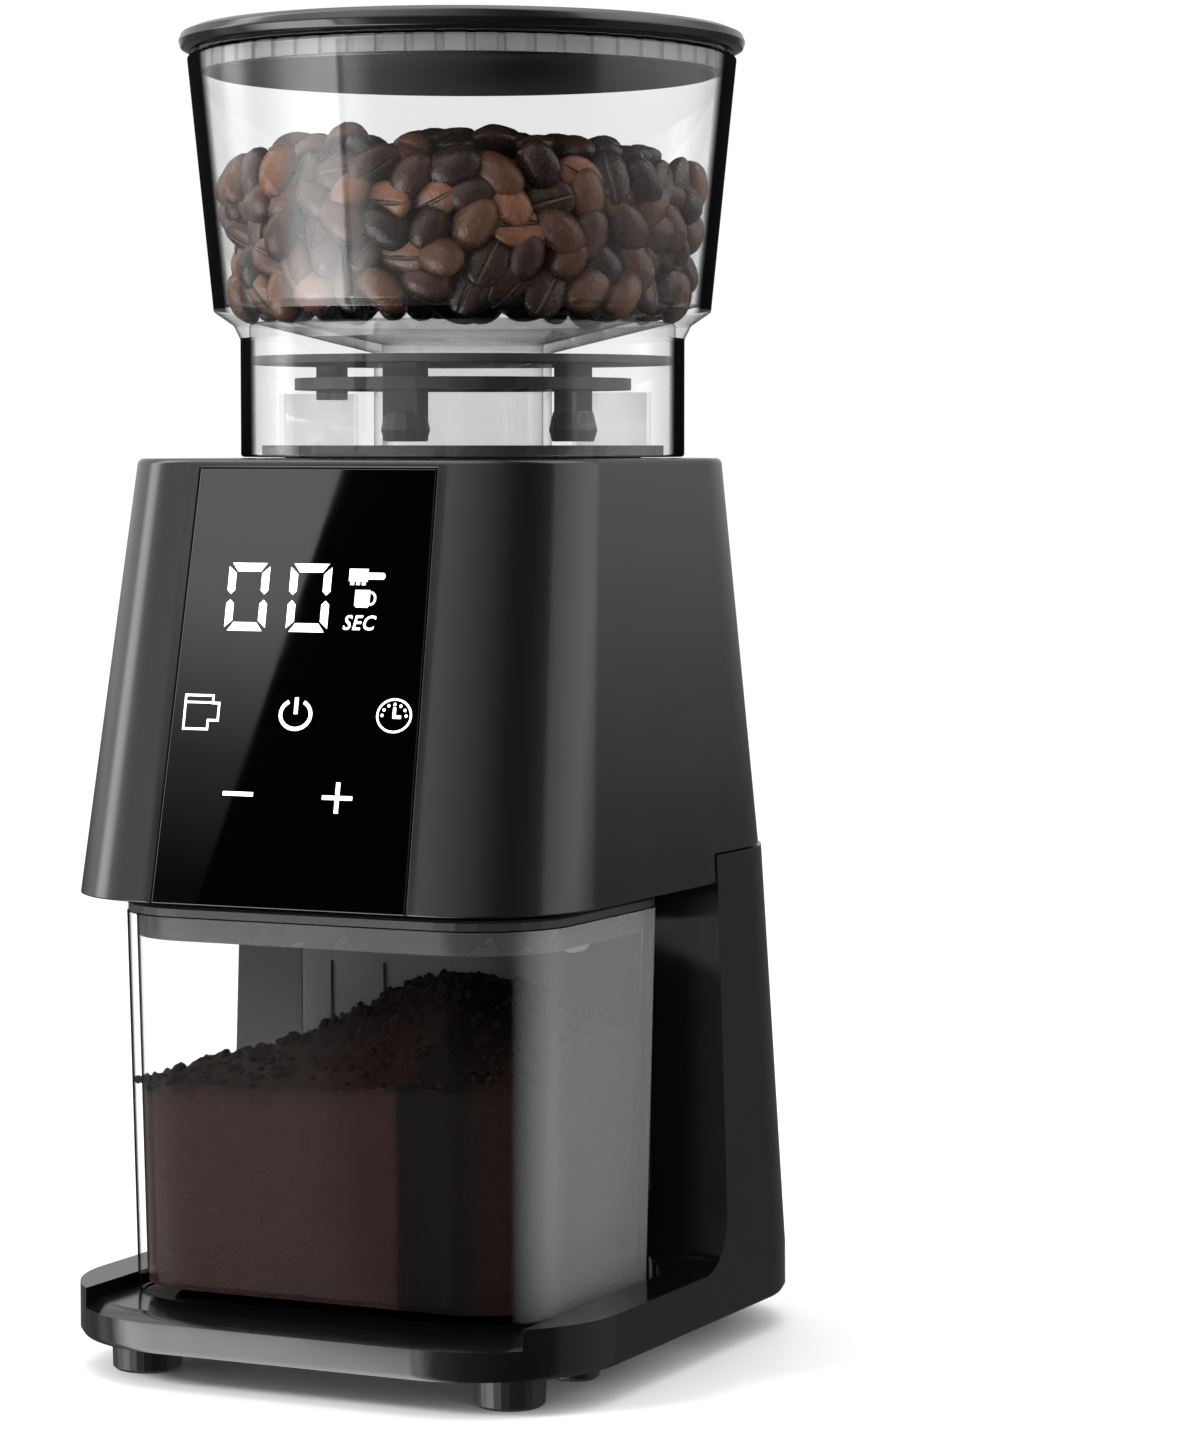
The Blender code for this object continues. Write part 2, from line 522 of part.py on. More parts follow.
rod("intermediate_axle", 2.5, 127.6, 150.3, "steel", IDLER, 20)

GEARBOX = (-31.0, 48.0, -18.0, 66.0)
x0, x1, y0, y1 = GEARBOX


def gearbox_outline(inset):
    middle = (x0 + x1) / 2
    outline = rounded((x1 - x0) / 2 - inset, y0 + inset, y1 - inset, 14 - inset, 14 - inset, 5)
    return [(x + middle, y) for x, y in outline]


gearbox = prism("gear_housing", gearbox_outline(0), 124.8, 150.3, "zinc")
cut(gearbox, prism("cut_gearbox", gearbox_outline(2.4), 127.3, 170))
join(gearbox, ring("add_bearing_seat", 8.3, 10.6, 126.5, 130.8, centre=(0, AXIS_Y), steps=28))
cut(gearbox, rod("cut_gearbox_motor", 7.5, 110, 135, centre=(0, MOTOR_Y), steps=24))
ring("lower_bearing", 4.25, 8.0, 127.6, 131.2, "steel", (0, AXIS_Y), 28)
gear_lid = prism("gear_cover", gearbox_outline(0), 150.6, 153.2, "zinc")
cut(gear_lid, rod("cut_gear_cover", 6.0, 140, 160, centre=(0, AXIS_Y), steps=24))
corner_spots = [(-22, -9), (39, -9), (-22, 57), (39, 57)]
for number, spot in enumerate(corner_spots, 1):
    join(gearbox, rod(f"add_gear_post_{number}", 4.0, 126.5, 150.2, centre=spot, steps=16))
for number, spot in enumerate(corner_spots, 1):
    cut(gearbox, rod(f"cut_gear_post_{number}", 1.7, 138, 160, centre=spot, steps=12))
    cut(gear_lid, rod(f"cut_gear_lid_{number}", 1.8, 140, 160, centre=spot, steps=12))
gear_screw = [(0, 140.0), (1.4, 140.0), (1.4, 153.5), (3.0, 153.5), (3.0, 155.4), (0, 155.8)]
for number, spot in enumerate((corner_spots[0], corner_spots[3]), 1):
    lathe(f"gear_screw_{number}", gear_screw, "zinc", spot, 12, (*spot, 153))

# ---------------------------------------------------------------- motor
MOTOR = (0, MOTOR_Y)
lathe("motor_can", [(4.0, 34), (26, 34), (26, 108), (24, 108), (24, 36), (4.0, 36)], "dark_steel", MOTOR, 32)
for number, start in enumerate((30, 210), 1):
    arc = [math.radians(start + 120 * i / 10) for i in range(11)]
    outline = [(20.4 * math.cos(a), MOTOR_Y + 20.4 * math.sin(a)) for a in arc]
    outline += [(23.7 * math.cos(a), MOTOR_Y + 23.7 * math.sin(a)) for a in reversed(arc)]
    prism(f"motor_magnet_{number}", outline, 44, 98, "dark_steel")
ring("motor_cap", 4.0, 26.0, 108.3, 111.3, "zinc", MOTOR, 32)
rod("motor_shaft", 2.5, 28.0, 141.5, "steel", MOTOR, 20, (0, MOTOR_Y, 131))
armature_outline = moved(star(10, 12.5, 18.8, 0.86), MOTOR)
armature = prism("motor_armature", armature_outline, 46, 94, "copper", (0, MOTOR_Y, 46))
cut(armature, rod("cut_armature", 2.75, 30, 120, centre=MOTOR, steps=20))
ring("motor_commutator", 2.75, 8.0, 96.5, 105.5, "copper", MOTOR, 24, (0, MOTOR_Y, 96))
plate = box("motor_plate", (-38, 38), (25, 76), (111.7, 114.5), "zinc")
cut(plate, rod("cut_motor_plate", 8.0, 100, 130, centre=MOTOR, steps=24))

# ---------------------------------------------------------------- electrics
box("control_board", (-56.0, -54.4), (28, 62), (36, 104), "board")
x, z = BIN_SWITCH
bin_plunger = [(0, 12.1), (2.2, 12.1), (3.0, 13.0), (3.0, 20.7), (4.8, 20.7), (4.8, 22.3), (2.0, 22.3),
               (2.0, 24.5), (0, 24.5)]
lathe("bin_switch_plunger", bin_plunger, "acetal", along="Y", hub=(x, 0, z), steps=20)
box("bin_switch", (x - 8, x + 8), (27.4, 35), (z - 6.5, z + 6.0), "matte_black")

x, y = HOPPER_SWITCH
hopper_plunger = [(0, 214.0), (1.5, 214.0), (1.5, 226.0), (3.6, 226.0), (3.6, 227.8), (2.0, 227.8),
                  (2.0, 230.0), (1.4, 230.7), (0, 230.7)]
lathe("hopper_switch_plunger", hopper_plunger, "acetal", (x, y), 16, (x, y, 220))
box("hopper_switch", (x - 3.7, x + 4.5), (y - 7, y + 7), (201.0, 211.5), "matte_black")

# ---------------------------------------------------------------- grounds bin
BIN_LOW = (59.2, -71.2, 9.2, 22.5, 13.0)
BIN_HIGH = (61.2, -74.2, 12.0, 25.0, 15.0)


def bin_ring(z, inset=0.0):
    t = (z - BIN_BOTTOM) / (BIN_TOP - BIN_BOTTOM)
    half, front, rear, rf, rr = [a + t * (b - a) for a, b in zip(BIN_LOW, BIN_HIGH)]
    outline = rounded(half - inset, front + inset, rear - inset, rf - inset, rr - inset, 7)
    return [(px, py, z) for px, py in outline]


bin_rings = [bin_ring(BIN_BOTTOM, 1.6), bin_ring(BIN_BOTTOM + 1.6), bin_ring(BIN_TOP)]
grounds_bin = loft("grounds_bin", bin_rings, "clear_plastic", (0, -30, BIN_BOTTOM))
cut(grounds_bin, loft("cut_bin_inside", [bin_ring(BIN_BOTTOM + 2.6, 2.4), bin_ring(BIN_TOP + 10, 2.4)]))

lid_rings = [bin_ring(BIN_TOP + GAP, 0.2), bin_ring(BIN_LID_TOP - 0.6, 0.2), bin_ring(BIN_LID_TOP, 0.9)]
lid = loft("bin_lid", lid_rings, "matte_black", (0, -30, BIN_TOP))
join(lid, loft("add_bin_plug", [bin_ring(110.2, 4.4), bin_ring(BIN_TOP + 1.4, 4.4)]))
cut(lid, loft("cut_bin_plug", [bin_ring(100.0, 6.2), bin_ring(BIN_TOP + 0.9, 6.2)]))
cut(lid, rod("cut_bin_lid_hole", 15.0, 100, 130, centre=(0, -37), steps=32))
seal = loft("bin_lid_seal", [bin_ring(111.6, 2.8), bin_ring(113.6, 2.7)], "rubber", (0, -30, BIN_TOP))
cut(seal, loft("cut_bin_seal", [bin_ring(105.0, 4.1), bin_ring(120.0, 4.1)]))

# even out the shading of the cut pieces, whose cut edges carry no crease of their own
for thing in parts.objects:
    even = thing.modifiers.new("even_shading", "WEIGHTED_NORMAL")
    even.keep_sharp = True
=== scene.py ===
"""Looks of the burr coffee grinder: fine shells, clear hopper and bin, lit panel, beans and grounds, studio.

Shapes are in mm and are turned into metres by MM; looks, lights and the camera are in metres.
"""

import json
import math
import random

import bmesh
import bpy
import numpy as np
from mathutils import Euler, Matrix, Vector, noise

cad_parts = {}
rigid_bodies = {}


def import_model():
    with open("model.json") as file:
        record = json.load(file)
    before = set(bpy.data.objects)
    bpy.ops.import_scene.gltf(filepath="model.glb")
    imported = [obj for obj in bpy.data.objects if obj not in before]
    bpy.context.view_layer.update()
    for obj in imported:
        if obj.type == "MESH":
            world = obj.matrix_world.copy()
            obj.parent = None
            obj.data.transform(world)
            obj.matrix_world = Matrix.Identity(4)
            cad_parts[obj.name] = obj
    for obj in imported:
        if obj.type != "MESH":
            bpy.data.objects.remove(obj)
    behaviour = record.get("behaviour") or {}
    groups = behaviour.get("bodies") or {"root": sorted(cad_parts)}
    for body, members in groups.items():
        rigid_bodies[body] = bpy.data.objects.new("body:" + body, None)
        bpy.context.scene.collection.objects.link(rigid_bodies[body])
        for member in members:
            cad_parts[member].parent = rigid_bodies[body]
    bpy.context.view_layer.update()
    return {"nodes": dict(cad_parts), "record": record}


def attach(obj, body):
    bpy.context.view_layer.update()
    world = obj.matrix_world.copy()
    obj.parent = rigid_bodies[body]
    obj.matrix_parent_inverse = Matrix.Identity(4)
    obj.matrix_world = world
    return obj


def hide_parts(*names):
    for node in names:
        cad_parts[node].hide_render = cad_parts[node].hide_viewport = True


for old in list(bpy.data.objects):
    bpy.data.objects.remove(old, do_unlink=True)

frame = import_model()
NODES = frame["nodes"]

MM = 0.001
AXIS_Y = 12.6
COLUMN_FRONT = 18.0
HOUSING_BOTTOM, HOUSING_TOP = 121.5, 230.7
TRAY_TOP, FLOOR = 21.8, 18.8
SEAM = 128.7
WALL = 2.6

# outer shape by height: z, half width, front y, rear y, front corner radius, rear corner radius
BASE_SHAPE = [
    (9.0, 73.2, -85.7, 86.4, 37.4, 39.4),
    (10.4, 74.0, -86.5, 87.2, 38.0, 40.0),
    (21.8, 74.0, -86.5, 87.0, 38.0, 40.0),
    (128.7, 70.5, -86.3, 81.6, 33.4, 44.2),
]
UPPER_SHAPE = [
    (121.5, 70.45, -87.2, 81.5, 33.2, 44.0),
    (229.6, 63.77, -65.52, 71.9, 28.0, 46.0),
    (230.7, 62.9, -64.5, 71.0, 27.2, 45.2),
]
BIN_BOTTOM, BIN_TOP = 19.1, 116.5
BIN_LOW = (59.2, -71.2, 9.2, 22.5, 13.0)
BIN_HIGH = (61.2, -74.2, 12.0, 25.0, 15.0)

CORNER_STEPS = 28        # points round each corner of a shell
TURNED_STEPS = 160       # points round a turned piece

RIM_BLACK = (0.002, 0.002, 0.002)          # clear plastic seen edge on
# The crease and pile colours are painted shade: dark in each bean's crease around the chaff's own paler
# colour, and dark deep in the bean pile.
CREASE_PAINTED_SHADE, CHAFF, PILE_PAINTED_SHADE = (0.006, 0.003, 0.002), (0.3, 0.16, 0.08), (0.002, 0.001, 0.001)
# The grounds' dark colour carries painted shade and a painted dark reflection.
GROUNDS_PAINTED_SHADE = (0.002, 0.0015, 0.0015)


# ---------------------------------------------------------------- node materials
def new_material(name):
    made = bpy.data.materials.new(name)
    made.use_nodes = True
    tree = made.node_tree
    return made, tree, tree.nodes["Principled BSDF"]


def add(tree, kind, **settings):
    """A node with its properties, and its sockets by name where the name isn't a property."""
    node = tree.nodes.new(kind)
    for key, value in settings.items():
        if hasattr(node, key):
            setattr(node, key, value)
        else:
            node.inputs[key.replace("_", " ")].default_value = value
    return node


def ramp(tree, source, stops):
    """A colour ramp fed by a socket; stops are (place, number or colour)."""
    node = tree.nodes.new("ShaderNodeValToRGB")
    line = node.color_ramp.elements
    line[0].position, line[1].position = stops[0][0], stops[-1][0]
    for place, _ in stops[1:-1]:
        line.new(place)
    for stop, (_, colour) in zip(line, stops):
        stop.color = (colour, colour, colour, 1) if isinstance(colour, (int, float)) else (*colour, 1)
    tree.links.new(source, node.inputs["Fac"])
    return node.outputs["Color"]


def pattern(tree, kind, scale, detail=3.0, stretch=(1, 1, 1)):
    """A texture in object coordinates, in metres."""
    where = add(tree, "ShaderNodeTexCoord")
    fit = add(tree, "ShaderNodeMapping")
    fit.inputs["Scale"].default_value = stretch
    tree.links.new(where.outputs["Object"], fit.inputs["Vector"])
    node = add(tree, kind, Scale=scale)
    if "Detail" in node.inputs:
        node.inputs["Detail"].default_value = detail
    tree.links.new(fit.outputs["Vector"], node.inputs["Vector"])
    return node.outputs[0]


def math_node(tree, operation, *values):
    """A Math node; each value is a number or a socket."""
    node = add(tree, "ShaderNodeMath", operation=operation)
    for socket, value in zip(node.inputs, values):
        if isinstance(value, (int, float)):
            socket.default_value = value
        else:
            tree.links.new(value, socket)
    return node.outputs[0]


def mix_shader(tree, share, first, second):
    """Two looks mixed by the share in a socket."""
    node = add(tree, "ShaderNodeMixShader")
    tree.links.new(share, node.inputs[0])
    tree.links.new(first.outputs[0], node.inputs[1])
    tree.links.new(second.outputs[0], node.inputs[2])
    return node


def mix_colour(tree, share, first, second, blend="MIX"):
    """A colour mix; the share is a number or a socket, and each colour is a tuple or a socket."""
    node = add(tree, "ShaderNodeMix", data_type="RGBA", blend_type=blend)
    for socket, value in ((node.inputs[0], share), (node.inputs[6], first), (node.inputs[7], second)):
        if isinstance(value, tuple):
            socket.default_value = (*value, 1)
        elif isinstance(value, float):
            socket.default_value = value
        else:
            tree.links.new(value, socket)
    return node.outputs[2]


def mesh_value(tree, name):
    """A number that the mesh holds for each of its points."""
    return add(tree, "ShaderNodeAttribute", attribute_name=name).outputs["Fac"]


def bump(tree, shader, source, strength, distance):
    """Fine relief in a material, its depth in metres."""
    node = add(tree, "ShaderNodeBump", Strength=strength, Distance=distance)
    tree.links.new(source, node.inputs["Height"])
    tree.links.new(node.outputs["Normal"], shader.inputs["Normal"])


def gloss_plastic(name, colour, rough, peel=0.00002):
    """Polished plastic with a faint haze and orange peel."""
    made, tree, shader = new_material(name)
    shader.inputs["Base Color"].default_value = (*colour, 1)
    haze = pattern(tree, "ShaderNodeTexNoise", 60.0, 4.0)
    tree.links.new(ramp(tree, haze, [(0.3, rough * 0.8), (0.7, rough * 1.25)]), shader.inputs["Roughness"])
    bump(tree, shader, pattern(tree, "ShaderNodeTexNoise", 420.0, 2.0), 0.06, peel)
    return made


def matte_plastic(name, colour, rough, grain=1800.0, depth=0.00003, specular=0.5):
    """Moulded plastic, rubber or felt with a fine grain."""
    made, tree, shader = new_material(name)
    shader.inputs["Specular IOR Level"].default_value = specular
    lighter = tuple(min(1, c * 1.35 + 0.002) for c in colour)
    cloud = pattern(tree, "ShaderNodeTexNoise", 90.0, 5.0)
    uneven = ramp(tree, cloud, [(0.2, rough * 0.85), (0.8, min(1, rough * 1.15))])
    tree.links.new(ramp(tree, cloud, [(0.3, colour), (0.75, lighter)]), shader.inputs["Base Color"])
    tree.links.new(uneven, shader.inputs["Roughness"])
    bump(tree, shader, pattern(tree, "ShaderNodeTexNoise", grain, 2.0), 0.35, depth)
    return made


def metal(name, colour, rough, stretch=(1, 1, 1), scale=500.0):
    made, tree, shader = new_material(name)
    shader.inputs["Metallic"].default_value = 1.0
    streak = pattern(tree, "ShaderNodeTexNoise", scale, 4.0, stretch)
    darker = tuple(c * 0.8 for c in colour)
    tree.links.new(ramp(tree, streak, [(0.3, darker), (0.7, colour)]), shader.inputs["Base Color"])
    tree.links.new(ramp(tree, streak, [(0.25, rough * 0.7), (0.75, rough * 1.4)]), shader.inputs["Roughness"])
    bump(tree, shader, streak, 0.12, 0.00003)
    return made


def clear_plastic(name, tint, rim, rim_colour=RIM_BLACK, film=0.04, painted_sheen=0.0):
    """Thin clear wall: see-through with a mirror film, going to a dark rim where it is seen edge on.

    The rim is (tilt where it starts, tilt where it is full, its share there). A painted sheen pales what
    faces +X: a pale diffuse share that stands in for the bright studio side mirrored there.
    """
    made, tree, shader = new_material(name)
    tilt = add(tree, "ShaderNodeLayerWeight", Blend=0.5).outputs["Facing"]
    glass = add(tree, "ShaderNodeBsdfTransparent", Color=(*tint, 1))
    mirror = add(tree, "ShaderNodeBsdfGlossy", Roughness=0.03, Color=(1, 1, 1, 1))
    steep = math_node(tree, "POWER", tilt, 5.0)
    share = math_node(tree, "MULTIPLY_ADD", steep, 0.96, film)
    look = mix_shader(tree, share, glass, mirror)
    if painted_sheen:
        pale = add(tree, "ShaderNodeBsdfDiffuse", Color=(0.8, 0.81, 0.83, 1))
        facing = add(tree, "ShaderNodeSeparateXYZ")
        tree.links.new(add(tree, "ShaderNodeTexCoord").outputs["Normal"], facing.inputs[0])
        spread = ramp(tree, facing.outputs["X"], [(0.7, 0.0), (0.96, painted_sheen), (1.0, painted_sheen * 0.85)])
        look = mix_shader(tree, spread, look, pale)
    shader.inputs["Base Color"].default_value = (*rim_colour, 1)
    shader.inputs["Roughness"].default_value = 1.0
    shader.inputs["Specular IOR Level"].default_value = 0.0
    start, full, most = rim
    both = mix_shader(tree, ramp(tree, tilt, [(start, 0.0), (full, most)]), look, shader)
    tree.links.new(both.outputs[0], tree.nodes["Material Output"].inputs["Surface"])
    return made


def roasted(name, tones, rough, grain, depth):
    """Coffee beans: the mesh holds each bean's tone, its groove with painted shade in the crease, and painted
    shade by how deep in the pile each point is.
    """
    made, tree, shader = new_material(name)
    fine = pattern(tree, "ShaderNodeTexNoise", grain, 5.0)
    groove = mesh_value(tree, "groove")
    skin = mix_colour(tree, 0.5, ramp(tree, mesh_value(tree, "tone"), tones),
                      ramp(tree, fine, [(0.3, 0.35), (0.7, 1.0)]), "MULTIPLY")
    # Painted shade: the crease darkens either side of the chaff line, which keeps the bean's own paler
    # colour.
    chaff = ramp(tree, groove, [(0.6, CREASE_PAINTED_SHADE), (0.95, CHAFF)])
    grooved = mix_colour(tree, ramp(tree, groove, [(0.0, 0.0), (0.35, 1.0)]), skin, chaff)
    colour = mix_colour(tree, mesh_value(tree, "pile_painted_shade"), grooved, PILE_PAINTED_SHADE)
    tree.links.new(colour, shader.inputs["Base Color"])
    shader.inputs["Specular IOR Level"].default_value = 0.4
    tree.links.new(ramp(tree, fine, [(0.3, rough * 1.4), (0.75, rough * 0.8)]), shader.inputs["Roughness"])
    bump(tree, shader, fine, 0.5, depth)
    return made


def powder(name, tones):
    """Ground coffee: speckled, and darkened by the share of painted shade and painted reflection that the
    mesh holds.
    """
    made, tree, shader = new_material(name)
    coarse = pattern(tree, "ShaderNodeTexVoronoi", 900.0)
    fine = pattern(tree, "ShaderNodeTexNoise", 1500.0, 6.0)
    colour = mix_colour(tree, mesh_value(tree, "shade"), ramp(tree, fine, tones), GROUNDS_PAINTED_SHADE)
    tree.links.new(colour, shader.inputs["Base Color"])
    shader.inputs["Roughness"].default_value = 0.9
    shader.inputs["Specular IOR Level"].default_value = 0.1
    bump(tree, shader, coarse, 0.5, 0.0003)
    return made


def glow(name, strength):
    """A lit white mark."""
    made, tree, shader = new_material(name)
    shader.inputs["Base Color"].default_value = (0.9, 0.92, 0.95, 1)
    shader.inputs["Emission Color"].default_value = (0.93, 0.96, 1.0, 1)
    shader.inputs["Emission Strength"].default_value = strength
    shader.inputs["Roughness"].default_value = 0.4
    return made


LOOKS = {
    "gloss_black": gloss_plastic("gloss_black", (0.003, 0.003, 0.0034), 0.13),
    "matte_black": matte_plastic("matte_black", (0.014, 0.014, 0.015), 0.42),
    "panel_glass": gloss_plastic("panel_glass", (0.0004, 0.0004, 0.0005), 0.02, 0.000001),
    "clear_plastic": clear_plastic("clear_plastic", (0.985, 0.987, 0.987), (0.63, 0.71, 0.99)),
    "rubber": matte_plastic("rubber", (0.004, 0.004, 0.004), 0.4, 1200.0, 0.00003),
    "felt": matte_plastic("felt", (0.55, 0.52, 0.45), 0.95, 700.0, 0.0002),
    "steel": metal("steel", (0.62, 0.62, 0.64), 0.22, (1, 1, 12)),
    "dark_steel": metal("dark_steel", (0.30, 0.30, 0.32), 0.35, (1, 1, 14)),
    "brass": metal("brass", (0.78, 0.58, 0.28), 0.25),
    "acetal": matte_plastic("acetal", (0.72, 0.71, 0.66), 0.4),
    "board": matte_plastic("board", (0.02, 0.13, 0.06), 0.45, 900.0, 0.00005),
    "copper": metal("copper", (0.82, 0.42, 0.24), 0.3, (1, 1, 20), 900.0),
    "label": metal("label", (0.55, 0.55, 0.57), 0.4, (16, 1, 1)),
    "zinc": metal("zinc", (0.52, 0.53, 0.55), 0.42, (1, 1, 1), 260.0),
}
CLEAR_INSIDE = clear_plastic("clear_inside", (0.96, 0.963, 0.963), (0.86, 0.97, 0.6), (0.05, 0.05, 0.05))
CLEAR_BIN = clear_plastic("clear_bin", (0.975, 0.978, 0.978), (0.72, 0.82, 0.9), film=0.001)
CLEAR_PAINTED_SHEEN = clear_plastic("clear_painted_sheen", (0.97, 0.97, 0.97), (0.86, 0.95, 0.9), film=0.001, painted_sheen=0.15)
LID_UNDER = matte_plastic("lid_under", (0.012, 0.012, 0.013), 0.6, specular=0.08)
BEAN_TONES = [(0, (0.014, 0.007, 0.005)), (0.4, (0.042, 0.017, 0.010)),
              (0.75, (0.095, 0.039, 0.021)), (1, (0.19, 0.078, 0.038))]
BEAN = roasted("roasted_bean", BEAN_TONES, 0.26, 900.0, 0.0005)
# The bean bed's near-black colour is painted shade for the beans deep in the pile.
BEAN_BED = matte_plastic("bean_bed", (0.012, 0.006, 0.004), 0.8, 300.0, 0.0006)
GROUNDS_TONES = [(0.3, (0.012, 0.006, 0.005)), (0.55, (0.026, 0.0115, 0.0095)), (0.8, (0.055, 0.025, 0.02))]
GROUNDS = powder("ground_coffee", GROUNDS_TONES)
LIT = glow("lit_symbol", 1.6)
SEAL_GREY = matte_plastic("seal_grey", (0.16, 0.16, 0.165), 0.35)
SEAL_SATIN = gloss_plastic("seal_satin", (0.045, 0.045, 0.047), 0.25)
node_slot = {row["node"]: row["material_slot"] for row in frame["record"]["subparts"]}
for name, node in NODES.items():
    node.data.materials.clear()
    node.data.materials.append(LOOKS[node_slot[name]])


# ---------------------------------------------------------------- mesh helpers
def new_object(name, work, look, body=None, slot=None, smooth=math.radians(32)):
    """An object from a bmesh in mm. With no look it is a cutter, removed once it is used."""
    bmesh.ops.scale(work, vec=(MM, MM, MM), verts=work.verts)
    bmesh.ops.recalc_face_normals(work, faces=work.faces)
    mesh = bpy.data.meshes.new(name)
    work.to_mesh(mesh)
    work.free()
    if smooth:
        mesh.shade_smooth()
        mesh.set_sharp_from_angle(angle=smooth)
    thing = bpy.data.objects.new(name, mesh)
    bpy.context.scene.collection.objects.link(thing)
    if look:
        mesh.materials.append(look)
    if body:
        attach(thing, body)
    return thing


def loft_mesh(rings):
    """Walls between rings with the same number of points, closed at both ends."""
    work = bmesh.new()
    rows = [[work.verts.new(point) for point in ring] for ring in rings]
    n = len(rows[0])
    for low, high in zip(rows, rows[1:]):
        for i in range(n):
            work.faces.new((low[i], low[(i + 1) % n], high[(i + 1) % n], high[i]))
    work.faces.new(rows[0])
    work.faces.new(rows[-1])
    return work


def loft(name, rings, look=None, **rest):
    return new_object(name, loft_mesh(rings), look, **rest)


def box(name, x, y, z, look=None, **rest):
    work = bmesh.new()
    bmesh.ops.create_cube(work, size=1)
    bmesh.ops.scale(work, vec=[b - a for a, b in (x, y, z)], verts=work.verts)
    bmesh.ops.translate(work, vec=[(a + b) / 2 for a, b in (x, y, z)], verts=work.verts)
    return new_object(name, work, look, **rest)


def rod(name, r, z0, z1, centre, look=None, steps=96, **rest):
    work = bmesh.new()
    bmesh.ops.create_cone(work, cap_ends=True, segments=steps, radius1=r, radius2=r, depth=z1 - z0)
    bmesh.ops.translate(work, vec=(centre[0], centre[1], (z0 + z1) / 2), verts=work.verts)
    return new_object(name, work, look, **rest)


def turned(name, profile, look=None, **rest):
    """A closed (radius, height) profile spun about the burrs' axis; a radius of 0 makes a pole."""
    work = bmesh.new()
    rows, steps = [], TURNED_STEPS
    for r, z in profile:
        angles = [2 * math.pi * i / steps for i in range(1 if r == 0 else steps)]
        rows.append([work.verts.new((r * math.cos(a), AXIS_Y + r * math.sin(a), z)) for a in angles])
    for low, high in zip(rows, rows[1:] + rows[:1]):
        for i in range(steps):
            j = (i + 1) % steps
            corners = [low[i % len(low)], low[j % len(low)], high[j % len(high)], high[i % len(high)]]
            corners = list(dict.fromkeys(corners))
            if len(corners) > 2:
                work.faces.new(corners)
    return new_object(name, work, look, **rest)


def rounded_corner(a, corner, b, radius, steps=5):
    """Points that round off a corner of a profile."""
    corner, a, b = Vector(corner), Vector(a), Vector(b)
    to_a, to_b = (a - corner).normalized(), (b - corner).normalized()
    half = to_a.angle(to_b) / 2
    reach = min(radius / math.tan(half), (a - corner).length * 0.48, (b - corner).length * 0.48)
    radius = reach * math.tan(half)
    centre = corner + (to_a + to_b).normalized() * (radius / math.sin(half))
    start, end = corner + to_a * reach - centre, corner + to_b * reach - centre
    turn = start.angle_signed(end)
    return [tuple(centre + Matrix.Rotation(-turn * i / steps, 2) @ start) for i in range(steps + 1)]


def smoothed(profile, radius):
    """A closed profile with its corners rounded, apart from those on the axis."""
    n, out = len(profile), []
    for i, point in enumerate(profile):
        if point[0] == 0:
            out.append(point)
        else:
            out += rounded_corner(profile[i - 1], point, profile[(i + 1) % n], radius)
    return out


def rounded(half, front, rear, r_front, r_rear, steps=CORNER_STEPS):
    corners = [
        (half - r_front, front + r_front, r_front, -90),
        (half - r_rear, rear - r_rear, r_rear, 0),
        (-half + r_rear, rear - r_rear, r_rear, 90),
        (-half + r_front, front + r_front, r_front, 180),
    ]
    outline = []
    for cx, cy, r, start in corners:
        for i in range(steps + 1):
            a = math.radians(start + 90 * i / steps)
            outline.append((cx + r * math.cos(a), cy + r * math.sin(a)))
    return outline


def upright(outline, levels):
    """The flat outline once at each height."""
    return [[(x, y, z) for x, y in outline] for z in levels]


def shape_at(shape, z):
    low, high = shape[0], shape[1]
    for a, b in zip(shape, shape[1:]):
        if z >= a[0]:
            low, high = a, b
    t = (z - low[0]) / (high[0] - low[0])
    return [u + t * (v - u) for u, v in zip(low[1:], high[1:])]


def shell_ring(shape, z, inset=0.0, at=None):
    """The outline of a shell at a height, drawn in by an inset."""
    half, front, rear, r_front, r_rear = shape_at(shape, z)
    outline = rounded(half - inset, front + inset, rear - inset, r_front - inset, r_rear - inset,
                      CORNER_STEPS)
    return [(x, y, z if at is None else at) for x, y in outline]


def bin_ring(z, inset=0.0):
    """The bin's outline at a height, drawn in by an inset."""
    t = (z - BIN_BOTTOM) / (BIN_TOP - BIN_BOTTOM)
    half, front, rear, rf, rr = [a + t * (b - a) for a, b in zip(BIN_LOW, BIN_HIGH)]
    outline = rounded(half - inset, front + inset, rear - inset, rf - inset, rr - inset, CORNER_STEPS)
    return [(x, y, z) for x, y in outline]


def front_y(z):
    """Where the housing's leaning front stands at a height."""
    (z0, _, f0, *_), (z1, _, f1, *_) = UPPER_SHAPE[:2]
    return f0 + (z - z0) * (f1 - f0) / (z1 - z0)


def boolean(thing, cutters):
    """Applies the cuts in turn, removes the cutters and keeps the look."""
    looks = [look for look in thing.data.materials if look]
    for cutter in cutters:
        step = thing.modifiers.new("cut", "BOOLEAN")
        step.operation, step.object, step.solver = "DIFFERENCE", cutter, "EXACT"
        graph = bpy.context.evaluated_depsgraph_get()
        result = bpy.data.meshes.new_from_object(thing.evaluated_get(graph))
        thing.modifiers.remove(step)
        thing.data = result
        bpy.data.objects.remove(cutter, do_unlink=True)
    thing.data.materials.clear()
    for look in looks:
        thing.data.materials.append(look)
    for face in thing.data.polygons:
        face.material_index = 0


